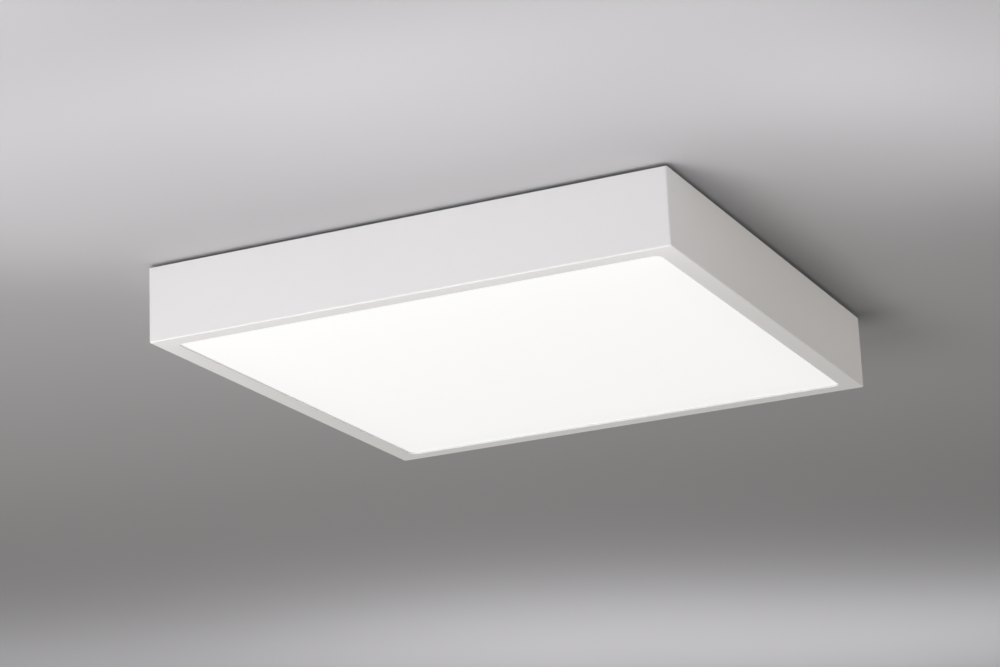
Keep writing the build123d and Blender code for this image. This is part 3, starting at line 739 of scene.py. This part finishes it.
def cross_cutter(reach, width, depth, level):
    """A tapered cross that cuts a screw's recess upwards from a level."""
    arms = []
    for turn in (0.0, math.pi / 2):
        rings = []
        for z, taper in ((level - 0.4 * depth, 1.12), (level + depth, 0.45)):
            x, y = reach * taper, width / 2 * (0.75 + 0.25 * taper)
            rings.append([(x, y, z), (-x, y, z), (-x, -y, z), (x, -y, z)])
        arm, loops = bridged(rings)
        for loop in loops:
            arm.faces.new(loop)
        bmesh.ops.rotate(arm, cent=(0, 0, 0), matrix=Matrix.Rotation(turn, 3, "Z"), verts=arm.verts)
        arms.append(arm)
    return arms


# Shares of a pan head's radius and height, from its crown to its seat
PAN_HEAD = ((0.55, 1.0), (0.78, 0.93), (0.92, 0.74), (0.99, 0.45), (1.0, 0.18), (0.985, 0.02), (0.95, 0.0))


def pan_head_screw(name, radius, head, shank, tip, pitch):
    """A pan head below level 0 with a cross recess, and a threaded shank above it."""
    profile = [
        (0.0, -head), *((radius * across, -head * down) for across, down in PAN_HEAD), (shank, 0.0),
        *threaded(shank, 0.0, tip - 0.4 * shank, pitch), (shank * 0.55, tip), (0.0, tip),
    ]
    recess = cross_cutter(reach=radius * 0.52, width=radius * 0.20, depth=head * 0.62, level=-head)
    return carved(name, turned(profile, sides=28), recess, angle=40.0)


# Cover


class LIGHT_OT_cover_frame(bpy.types.Operator):
    """Folds the cover's four walls and rim from one sheet"""

    bl_idname = "light.cover_frame"
    bl_label = "Cover frame"

    def execute(self, context):
        sizes, colours = context.scene.light_cover, context.scene.light_colours
        half, top, low = HOUSING_HIGH.x, HOUSING_HIGH.z, HOUSING_LOW.z
        inner, window = half - sizes.sheet, half - sizes.rim_width
        back, cut, bevel = low + sizes.sheet, sizes.edge_break, sizes.inner_break
        inner_radius = max(sizes.corner_radius - sizes.sheet, cut)
        rings = []

        def ring(side, radius, level):
            rings.append(rounded_square(side, radius, level, sizes.corner_steps))

        def wall_ring(inward, level):
            ring(half - inward, max(sizes.corner_radius - inward, cut), level)

        def window_ring(outward, level):
            ring(window + outward, sizes.window_radius + outward, level)

        for inward, down in quarter_round(cut, sizes.edge_steps):
            wall_ring(inward, top - down)
        for up, inward in quarter_round(sizes.edge_radius, sizes.fold_steps):
            wall_ring(inward, low + up)
        for outward, up in quarter_round(cut, sizes.edge_steps):
            window_ring(outward, low + up)
        window_ring(0.0, back - bevel)
        window_ring(bevel, back)
        ring(inner, inner_radius, back)
        ring(inner, inner_radius, top - bevel)
        ring(inner + bevel, inner_radius + bevel, top)
        piece = formed("cover_frame", bridged(rings, closed=True)[0], angle=35.0)
        piece.data.materials.append(coat("white_powder_coat", colours.powder))
        piece.modifiers.new("flat faces", "WEIGHTED_NORMAL").keep_sharp = True
        settled(piece)
        keep(piece, COVER, "white_powder_coat", "housing_frame")
        rail = coat("white_rail_coat", colours.powder, rough=0.62)
        dress(rail, *(f"catch_rail_{side}" for side in SIDE_TURNS))
        return {"FINISHED"}


def opal_finish(colours):
    """Opal sheet: a satin white that glows evenly, a little less along its edges."""
    material = moulded(
        "opal_sheet", colours.opal, rough=0.42, grain=0.25 * MM, flow=0.004, bump=0.002 * MM,
        Emission_Strength=colours.glow,
    )
    tree, _, shader = finish_parts(material)
    place = object_place(tree)
    far = math_node(tree, "MAXIMUM", *(math_node(tree, "ABSOLUTE", place[axis]) for axis in "XY"))
    edge = add(tree, "ShaderNodeMapRange", interpolation_type="SMOOTHSTEP")
    feed(tree, edge, {"Value": far, "From Min": 150.0 * MM, "From Max": 187.0 * MM})
    feed(tree, shader, {"Emission Color": mix_colour(tree, edge.outputs[0], WHITE, (0.97, 0.97, 0.97, 1.0))})
    return material


class LIGHT_OT_diffuser(bpy.types.Operator):
    """Gives the diffuser its glowing opal finish"""

    bl_idname = "light.diffuser"
    bl_label = "Diffuser"

    def execute(self, context):
        dress(opal_finish(context.scene.light_colours), "diffuser")
        return {"FINISHED"}


class LIGHT_OT_clamps(bpy.types.Operator):
    """Finishes the diffuser clamps and sets their studs and nuts"""

    bl_idname = "light.clamps"
    bl_label = "Diffuser clamps"

    def execute(self, context):
        sizes, colours = context.scene.light_fasteners, context.scene.light_colours
        clamp = zinc("clamp_zinc", colours.zinc, rough=0.42, crystal=3.0 * MM, contrast=0.08)
        dress(clamp, "diffuser_clamps")
        nut_low, nut_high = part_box("clamp_nuts")
        stud_low, stud_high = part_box("clamp_studs")
        base, radius = stud_low.z, sizes.stud_radius
        tall, foot, chamfer = stud_high.z - base, 0.5 * MM, 0.4 * MM
        nut = hex_nut(sizes.nut_width, nut_high.z - nut_low.z, radius * 0.98, nut_low.z - base)
        profile = [
            (0.0, 0.0), (radius, 0.0), (radius * 0.9, foot),
            *threaded(radius, foot, tall - chamfer, sizes.stud_pitch), (radius * 0.62, tall), (0.0, tall),
        ]
        template = formed("clamp_nut_on_stud", joined(nut, turned(profile, sides=18)), angle=28.0)
        points = round_sides(stud_high.x - radius, sizes.stud_out, base)
        fastened("clamp_nuts_and_studs", template, points, plated_finish(colours), COVER, "zinc_fastener",
                 ("clamp_nuts", "clamp_studs"), turn=0.5)
        return {"FINISHED"}


# Ceiling plate


class LIGHT_OT_ceiling_plate(bpy.types.Operator):
    """Finishes the ceiling plate, its grommet and the latch springs, and sets the latch rivets"""

    bl_idname = "light.ceiling_plate"
    bl_label = "Ceiling plate and latches"

    def execute(self, context):
        sizes, colours = context.scene.light_fasteners, context.scene.light_colours
        sheet = zinc("galvanised_sheet", colours.zinc, rough=0.52, crystal=6.0 * MM, contrast=0.22)
        dress(sheet, "ceiling_plate")
        rubber = moulded("grommet_rubber", colours.rubber, rough=0.62, grain=0.5 * MM)
        dress(rubber, "cable_grommet", "lead_bush")
        spring = zinc(
            "latch_spring_steel", colours.spring, rough=0.50, crystal=2.0 * MM, contrast=0.03, streak=0.16
        )
        dress(spring, *(f"latch_spring_{side}" for side in SIDE_TURNS))
        low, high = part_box("latch_rivets")
        head, long, shank, thick = sizes.rivet_head, high.x - sizes.rivet_inside, 1.5 * MM, 1.3 * MM
        inner_head = [
            (0.0, 0.25 * MM), (0.75 * MM, 0.0), (head * 0.62, 0.05 * MM), (head * 0.92, 0.5 * MM),
            (head, 0.95 * MM), (head * 0.97, thick),
        ]
        outer_head = [
            (head, long - thick), (head * 0.985, long - 1.0 * MM), (head * 0.86, long - 0.55 * MM),
            (head * 0.62, long - 0.2 * MM), (1.0 * MM, long), (0.72 * MM, long - 0.02 * MM),
            (0.66 * MM, long - 0.7 * MM), (0.0, long - 0.55 * MM),
        ]
        profile = [*inner_head, (shank, thick), (shank, long - thick), *outer_head]
        template = formed("latch_rivet", turned(profile, sides=24), angle=40.0)
        points = round_sides(sizes.rivet_inside, sizes.rivet_out, (low.z + high.z) / 2, tip=math.pi / 2)
        rivet = zinc("rivet_aluminium", (0.72, 0.725, 0.73), rough=0.33, crystal=1.2 * MM, contrast=0.05)
        fastened("latch_rivets_set", template, points, rivet, GEAR, "aluminium_rivet", ("latch_rivets",))
        return {"FINISHED"}


# LED plate and boards


PLATE_SCREW, DRIVER_SCREW = 150.0 * MM, (115.5 * MM, -93.0 * MM)
PLATE_SPOTS = ((PLATE_SCREW, 0.0), (0.0, PLATE_SCREW), (-PLATE_SCREW, 0.0), (0.0, -PLATE_SCREW))
DRIVER_SPOTS = tuple((hand * DRIVER_SCREW[0], DRIVER_SCREW[1]) for hand in HANDS)
TERMINAL_SPOTS = ((21.5 * MM, -44.0 * MM),)


class LIGHT_OT_led_plate(bpy.types.Operator):
    """Finishes the LED plate and its standoffs, and sets all the pan head screws"""

    bl_idname = "light.led_plate"
    bl_label = "LED plate and screws"

    def execute(self, context):
        sizes, colours = context.scene.light_fasteners, context.scene.light_colours
        dress(coat("tray_white_coat", colours.tray, rough=0.55, peel=0.9 * MM), "led_plate")
        plated = plated_finish(colours)
        dress(plated, "standoffs", "earth_stud")
        # Radius and height of the head, and radius of the shank
        large, small = (sizes.screw_head, 2.6 * MM, 1.95 * MM), (2.8 * MM, 2.0 * MM, 1.4 * MM)
        for name, node, (radius, head, shank), spots in (
            ("led_plate_screws_set", "led_plate_screws", large, PLATE_SPOTS),
            ("driver_screws_set", "driver_screws", large, DRIVER_SPOTS),
            ("terminal_screw_set", "terminal_screw", small, TERMINAL_SPOTS),
        ):
            low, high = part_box(node)
            seat = low.z + head
            template = pan_head_screw(node + "_one", radius, head, shank, high.z - seat, sizes.screw_pitch)
            points = [point(x, y, seat) for x, y in spots]
            fastened(name, template, points, plated, GEAR, "zinc_fastener", (node,), turn=math.pi / 4)
        return {"FINISHED"}


def board_finish(colours, sizes):
    """White solder mask over copper areas that meet at each LED."""
    material = moulded("board_mask", colours.board, rough=0.36, grain=0.3 * MM, flow=0.01, bump=0.0)
    tree, skin, shader = finish_parts(material)
    place = object_place(tree)
    across, along = (math_node(tree, "ABSOLUTE", place[axis]) for axis in "XY")
    gap, mask, border = 0.35 * MM / sizes.led_pitch, 0.04 * MM, 9.0 * MM
    middle = sizes.led_start + sizes.led_pitch * (sizes.led_rows - 1) / 2

    def gaps(value, shift):
        start = math_node(tree, "SUBTRACT", value, sizes.led_start)
        turns = math_node(tree, "MULTIPLY_ADD", start, 1.0 / sizes.led_pitch, shift)
        return math_node(tree, "LESS_THAN", math_node(tree, "PINGPONG", turns, 0.5), gap)

    def margin(value):
        off = math_node(tree, "ABSOLUTE", math_node(tree, "SUBTRACT", value, middle))
        return math_node(tree, "GREATER_THAN", off, middle - border)

    bare = math_node(tree, "MAXIMUM", gaps(across, shift=0.5), gaps(along, shift=0.0))
    bare = math_node(tree, "MAXIMUM", bare, math_node(tree, "MAXIMUM", margin(across), margin(along)))
    feed(tree, shader, {"Base Color": mix_colour(tree, bare, skin["Colour"], (0.70, 0.72, 0.69, 1.0))})
    raise_by(material, math_node(tree, "SUBTRACT", 1.0, bare), mask)
    return material


class LIGHT_OT_led_boards(bpy.types.Operator):
    """Finishes the LED boards and sets their LEDs, push rivets and connectors"""

    bl_idname = "light.led_boards"
    bl_label = "LED boards"

    def execute(self, context):
        sizes, colours = context.scene.light_boards, context.scene.light_colours
        dress(board_finish(colours, sizes), *(f"led_board_{number}" for number in BOARDS))
        low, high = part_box("led_board_1")
        face, middle = low.z, abs(low.x + high.x) / 2
        self.leds(sizes, face)
        self.push_rivets(sizes, colours, face, middle)
        self.connectors(sizes, colours, face)
        dress(moulded("link_insulation", (0.76, 0.76, 0.74), rough=0.42), "board_links")
        return {"FINISHED"}

    def leds(self, sizes, face):
        """Rows of LEDs on all four boards."""
        rows = [sizes.led_start + sizes.led_pitch * row for row in range(sizes.led_rows)]
        points = [point(x * sx, y * sy, face)
                  for sx, sy in ((1, -1), (1, 1), (-1, 1), (-1, -1)) for x in rows for y in rows]
        cup = moulded("led_cup", (0.86, 0.86, 0.83), rough=0.4, grain=0.2 * MM, flow=0.01)
        phosphor = moulded(
            "led_phosphor_gel", (0.86, 0.66, 0.16), rough=0.3, grain=0.15 * MM, flow=0.05, bump=0.003 * MM,
            Emission_Color=(1.0, 0.83, 0.42, 1.0), Emission_Strength=0.35,
        )
        piece = grown("leds_on_boards", led_tree(), points, {
            "Width": sizes.led_width, "Length": sizes.led_length, "Height": sizes.led_height,
            "Cup": cup, "Phosphor": phosphor, "Solder": solder_finish(),
        })
        keep(piece, GEAR, "led_phosphor", *(f"leds_{number}" for number in BOARDS))

    def push_rivets(self, sizes, colours, face, middle):
        """Nylon push rivets at the corners of the boards."""
        low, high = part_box("board_rivets")
        head, top, shank, foot, grip = low.z - face, high.z - face, 1.5 * MM, 1.7 * MM, 2.0 * MM
        profile = [
            (0.0, head * 0.82), (0.80 * MM, head * 0.82), (0.86 * MM, head * 0.95), (1.0 * MM, head * 0.95),
            (1.08 * MM, head), (2.0 * MM, head * 0.94), (2.6 * MM, head * 0.66), (2.9 * MM, head * 0.32),
            (3.0 * MM, head * 0.08), (2.94 * MM, 0.0), (shank, 0.0), (shank, top - grip), (foot, top - grip),
            (foot * 0.98, top - 1.4 * MM), (1.25 * MM, top - 0.2 * MM), (1.0 * MM, top), (0.0, top),
        ]
        template = formed("push_rivet", turned(profile, sides=20), angle=38.0)
        aside = [hand * sizes.rivet_spread for hand in HANDS]
        points = [point(sx * middle + dx, sy * middle + dy, face)
                  for sx in (1, -1) for sy in (1, -1) for dx in aside for dy in aside]
        nylon = moulded("rivet_nylon", colours.nylon, rough=0.42)
        fastened("push_rivets_set", template, points, nylon, GEAR, "nylon_white", ("board_rivets",), turn=0.6)

    def connectors(self, sizes, colours, face):
        """Connectors with two wire holes, release slots with their springs, and soldered feet."""
        low, half, back = -4.2 * MM, 5.0 * MM, 3.5 * MM
        bore, hole_out, hole_end = 1.0 * MM, 1.2 * MM, 7.0 * MM
        slot_out, foot_out, over = 3.4 * MM, 2.2 * MM, 1.0 * MM
        body = bevelled(boxed(0.0, half, (-back, back), (low, 0.0)), width=0.45 * MM, steps=3)
        cutters, metal = [], []
        for hand in HANDS:
            profile = [(0.0, -hole_end), (bore, -hole_end), (bore, hole_end), (0.0, hole_end)]
            hole = turned(profile, sides=20)
            lying = Matrix.Rotation(math.pi / 2, 3, "X")
            bmesh.ops.rotate(hole, cent=(0, 0, 0), matrix=lying, verts=hole.verts)
            bmesh.ops.translate(hole, vec=(hand * hole_out, 0.0, low / 2), verts=hole.verts)
            slot = boxed(hand * slot_out, 0.55 * MM, (-1.5 * MM, 1.5 * MM), (low - over, low + 1.4 * MM))
            cutters += [hole, slot]
            leaf = boxed(hand * slot_out, 0.45 * MM, (-1.2 * MM, 1.2 * MM), (low + 1.0 * MM, low + 1.3 * MM))
            foot = boxed(hand * foot_out, 0.8 * MM, (back - 0.4 * MM, back + 1.3 * MM), (-0.45 * MM, 0.0))
            metal += [bevelled(leaf, width=0.1 * MM, steps=1), bevelled(foot, width=0.2 * MM, steps=2)]
        groove = boxed(0.0, 0.35 * MM, (-back - over, back + over), (low - over, low + 0.5 * MM))
        template = carved("connector_body", body, [*cutters, groove])
        edge, link = sizes.connector_in, sizes.link_out
        points = [
            point(sizes.supply_out, -edge, face), point(link, -edge, face), point(link, edge, face, math.pi),
            point(edge, link, face, math.pi / 2), point(-edge, link, face, -math.pi / 2),
            point(-link, edge, face, math.pi), point(-link, -edge, face),
        ]
        nylon = moulded("connector_nylon", colours.nylon, rough=0.48)
        fastened("connectors_on_boards", template, points, nylon, GEAR, "connector_white",
                 ("board_connectors",))
        template = formed("connector_metal", joined(*metal))
        fastened("connector_springs_and_feet", template, points, solder_finish(), GEAR, "tinned_copper", ())


# Terminal block, driver, leads


BUTTON_TINTS = {
    "button_line": (0.19, 0.19, 0.195), "button_neutral": (0.030, 0.130, 0.420),
    "button_earth": (0.030, 0.300, 0.085),
}
LEAD_TINTS = {
    "lead_line": (0.115, 0.045, 0.018), "lead_neutral": (0.030, 0.130, 0.440),
    "lead_led_plus": (0.430, 0.022, 0.018), "lead_led_minus": (0.020, 0.020, 0.021),
}
EARTH_GREEN, EARTH_YELLOW = (0.030, 0.270, 0.060), (0.720, 0.600, 0.030, 1.0)


class LIGHT_OT_terminal(bpy.types.Operator):
    """Finishes the supply terminal block, its contacts and its three buttons"""

    bl_idname = "light.terminal"
    bl_label = "Terminal block"

    def execute(self, context):
        colours = context.scene.light_colours
        nylon = moulded("terminal_nylon", colours.nylon, rough=0.46)
        dress(nylon, "terminal_block", "driver_input", "driver_output")
        brass = zinc("contact_brass", colours.brass, rough=0.30, crystal=1.0 * MM, contrast=0.05)
        dress(brass, "terminal_contacts", "earth_nut")
        for node, tint in BUTTON_TINTS.items():
            dress(moulded(node + "_plastic", tint, rough=0.44), node)
        return {"FINISHED"}


class LIGHT_OT_driver(bpy.types.Operator):
    """Finishes the driver's case, board and components"""

    bl_idname = "light.driver"
    bl_label = "Driver"

    def execute(self, context):
        colours = context.scene.light_colours
        case = moulded("driver_case", colours.driver, rough=0.5, grain=0.6 * MM, flow=0.03, bump=0.015 * MM)
        dress(case, "driver_lid")
        base = zinc("driver_base_zinc", colours.zinc, rough=0.48, crystal=5.0 * MM, contrast=0.18)
        dress(base, "driver_base")
        mask = moulded("driver_board_mask", (0.020, 0.190, 0.070), rough=0.34, grain=0.3 * MM)
        dress(mask, "driver_board")
        dress(moulded("component_case", (0.035, 0.035, 0.038), rough=0.5, flow=0.2), "driver_components")
        return {"FINISHED"}


def earth_lead_finish():
    """Green insulation with a yellow band along each side of the lead."""
    material = moulded("lead_green_yellow", EARTH_GREEN, rough=0.40, grain=0.5 * MM)
    tree, skin, shader = finish_parts(material)
    low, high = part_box("lead_earth")
    middle, half_band = (low.z + high.z) / 2, 0.42 * (high.z - low.z) / 2
    off = math_node(tree, "ABSOLUTE", math_node(tree, "SUBTRACT", object_place(tree)["Z"], middle))
    band = math_node(tree, "LESS_THAN", off, half_band)
    feed(tree, shader, {"Base Color": mix_colour(tree, band, skin["Colour"], EARTH_YELLOW)})
    return material


class LIGHT_OT_leads(bpy.types.Operator):
    """Finishes the five leads and the earth ring"""

    bl_idname = "light.leads"
    bl_label = "Leads"

    def execute(self, context):
        for node, tint in LEAD_TINTS.items():
            dress(moulded(node + "_insulation", tint, rough=0.40, grain=0.5 * MM), node)
        dress(earth_lead_finish(), "lead_earth")
        ring = zinc("tinned_copper", (0.74, 0.72, 0.69), rough=0.30, crystal=1.0 * MM, contrast=0.05)
        dress(ring, "earth_ring")
        return {"FINISHED"}


# Stage


PLAIN, COOL = (1.0, 1.0, 1.0), (0.982, 0.966, 0.994)
MILD, WARM = (1.0, 0.946, 0.895), (1.0, 0.940, 0.890)
WIDE_BEAM = 180.0
ROOM_LAMPS = (
    # name, place, aim, width, power, tint, seen in shiny pieces
    ("low_lamp", (-0.4, -0.6, -2.0), (0.0, 0.0, 0.0), 1.8, 18.9, MILD, True),
    ("front_lamp", (-0.5, -1.7, -1.0), (-0.1, -0.3, 0.0), 1.2, 16.2, COOL, True),
    ("right_lamp", (2.0, 0.3, -0.10), (0.0, 0.0, -0.03), 0.4, 9.5, WARM, True),
    ("over_lamp", (-1.5, 2.0, 0.7), (0.0, 0.0, 0.0), 1.0, 40.0, PLAIN, False),
    ("near_left_lamp", (-0.15, -0.75, -0.40), (-0.15, -0.70, 0.0), 0.5, 1.60, COOL, False),
)
CEILING_LAMPS = (
    # name, place, width, depth, power, beam; they shine straight up
    ("ceiling_strip_lamp", (0.05, -0.37, -0.30), 0.7, 0.3, 0.170, 40.0),
    ("ceiling_front_lamp", (0.12, -0.40, -0.25), 0.3, 0.3, 0.062, 80.0),
    ("ceiling_side_lamp", (0.42, -0.18, -0.25), 0.3, 0.3, 0.100, 80.0),
    ("ceiling_right_lamp", (0.48, -0.40, -0.36), 0.5, 0.5, 0.24, 90.0),
    ("ceiling_left_lamp", (-1.25, 1.10, -0.5), 0.7, 0.7, 0.83, 110.0),
    ("ceiling_back_lamp", (-0.58, 1.30, -0.5), 0.7, 0.7, 1.46, 110.0),
    ("ceiling_far_lamp", (-0.15, 1.60, -0.5), 0.7, 0.7, 1.37, 110.0),
)


class LIGHT_OT_stage(bpy.types.Operator):
    """Sets up the camera, the ceiling, the lamps and the room light"""

    bl_idname = "light.stage"
    bl_label = "Stage"

    def execute(self, context):
        scene, stage = context.scene, context.scene.light_stage
        for name in ("Cube", "Light", "Camera"):
            if name in bpy.data.objects:
                bpy.data.objects.remove(bpy.data.objects[name])
        self.camera(scene, stage)
        self.ceiling(stage)
        for name, place, aim, wide, power, tint, mirrored in ROOM_LAMPS:
            self.lamp(name, place, aim, wide, wide, power, WIDE_BEAM, tint, mirrored)
        for name, place, wide, deep, power, beam in CEILING_LAMPS:
            self.lamp(name, place, (*place[:2], 0.0), wide, deep, power, beam, COOL, False)
        self.room(scene, stage)
        scene.view_settings.view_transform = "Standard"
        return {"FINISHED"}

    def camera(self, scene, stage):
        """The photo's camera."""
        eye = bpy.data.cameras.new("photo_camera")
        eye.lens, eye.sensor_width, eye.clip_end = stage.camera_lens, 36.0, 100.0
        camera = shown("photo_camera", eye)
        turn = Euler(stage.camera_turn).to_matrix().to_4x4()
        camera.matrix_world = Matrix.Translation(stage.camera_place) @ turn
        scene.camera = camera

    def lamp(self, name, place, aim, wide, deep, power, beam, tint, mirrored):
        """A soft lamp that the camera doesn't see."""
        lamp = bpy.data.lights.new(name, "AREA")
        lamp.shape, lamp.size, lamp.size_y = "DISK" if wide == deep else "RECTANGLE", wide, deep
        lamp.energy, lamp.color, lamp.spread = power, tint, math.radians(beam)
        holder = shown(name, lamp)
        turn = (Vector(aim) - Vector(place)).to_track_quat("-Z", "Y")
        holder.matrix_world = Matrix.Translation(place) @ turn.to_matrix().to_4x4()
        holder.visible_camera = False
        holder.visible_glossy = mirrored

    def ceiling(self, stage):
        """A painted ceiling that is only there from below."""
        reach, level = stage.ceiling_reach, 0.2 * MM
        corners = [(x * reach, y * reach, level) for x, y in ((-1, -1), (-1, 1), (1, 1), (1, -1))]
        mesh = bpy.data.meshes.new("ceiling")
        mesh.from_pydata(corners, [], [(0, 1, 2, 3)])
        ceiling = shown("ceiling", mesh)
        ceiling.visible_shadow = False
        ceiling.visible_glossy = False
        paint = finish(
            "ceiling_paint", coat_skin(), stage.ceiling_colour,
            {"Peel Size": 2.5 * MM, "Roughness": 0.9, "Tone Change": 0.01}, bump=0.03 * MM,
            Specular_IOR_Level=0.0,
        )
        tree, _, shader = finish_parts(paint)
        clear = add(tree, "ShaderNodeBsdfTransparent")
        sides = add(tree, "ShaderNodeMixShader")
        behind = add(tree, "ShaderNodeNewGeometry").outputs["Backfacing"]
        for target, source in zip(sides.inputs, (behind, shader.outputs[0], clear.outputs[0])):
            plug(tree, target, source)
        feed(tree, tree.nodes["Material Output"], {"Surface": sides.outputs[0]})
        mesh.materials.append(paint)

    def room(self, scene, stage):
        """Even room light, paler where it is looked at or mirrored."""
        world = bpy.data.worlds.new("room")
        world.use_nodes = True
        tree = world.node_tree
        tree.nodes.clear()
        rays = add(tree, "ShaderNodeLightPath").outputs
        looked = rays["Is Camera Ray"]
        for ray in ("Is Glossy Ray", "Is Transmission Ray"):
            looked = math_node(tree, "MAXIMUM", looked, rays[ray])
        more = stage.background - stage.world_light
        level = math_node(tree, "MULTIPLY_ADD", looked, more, stage.world_light)
        light = add(tree, "ShaderNodeBackground", {"Color": WHITE, "Strength": level})
        add(tree, "ShaderNodeOutputWorld", {"Surface": light.outputs[0]})
        scene.world = world


# Panel and start


STEPS = (
    LIGHT_OT_stage, LIGHT_OT_cover_frame, LIGHT_OT_diffuser, LIGHT_OT_clamps, LIGHT_OT_ceiling_plate,
    LIGHT_OT_led_plate, LIGHT_OT_led_boards, LIGHT_OT_terminal, LIGHT_OT_driver, LIGHT_OT_leads,
)
SETTINGS = {
    "light_cover": CoverSizes, "light_fasteners": FastenerSizes, "light_boards": BoardSizes,
    "light_colours": FinishColours, "light_stage": StageSettings,
}


class LIGHT_PT_panel(bpy.types.Panel):
    """Lists the light's settings and steps"""

    bl_idname = "LIGHT_PT_panel"
    bl_label = "Ceiling light"
    bl_space_type = "VIEW_3D"
    bl_region_type = "UI"
    bl_category = "Ceiling light"

    def draw(self, context):
        for key, group in SETTINGS.items():
            box = self.layout.box()
            box.label(text=group.__doc__)
            for name in group.__annotations__:
                box.prop(getattr(context.scene, key), name)
        for step in STEPS:
            self.layout.operator(step.bl_idname)


def register():
    for item in (*SETTINGS.values(), *STEPS, LIGHT_PT_panel):
        bpy.utils.register_class(item)
    for key, group in SETTINGS.items():
        setattr(bpy.types.Scene, key, bpy.props.PointerProperty(type=group))


def unregister():
    for key in SETTINGS:
        delattr(bpy.types.Scene, key)
    for item in reversed((*SETTINGS.values(), *STEPS, LIGHT_PT_panel)):
        bpy.utils.unregister_class(item)


def main():
    register()
    for step in STEPS:
        group, name = step.bl_idname.split(".")
        getattr(getattr(bpy.ops, group), name)()


if __name__ == "__main__":
    main()
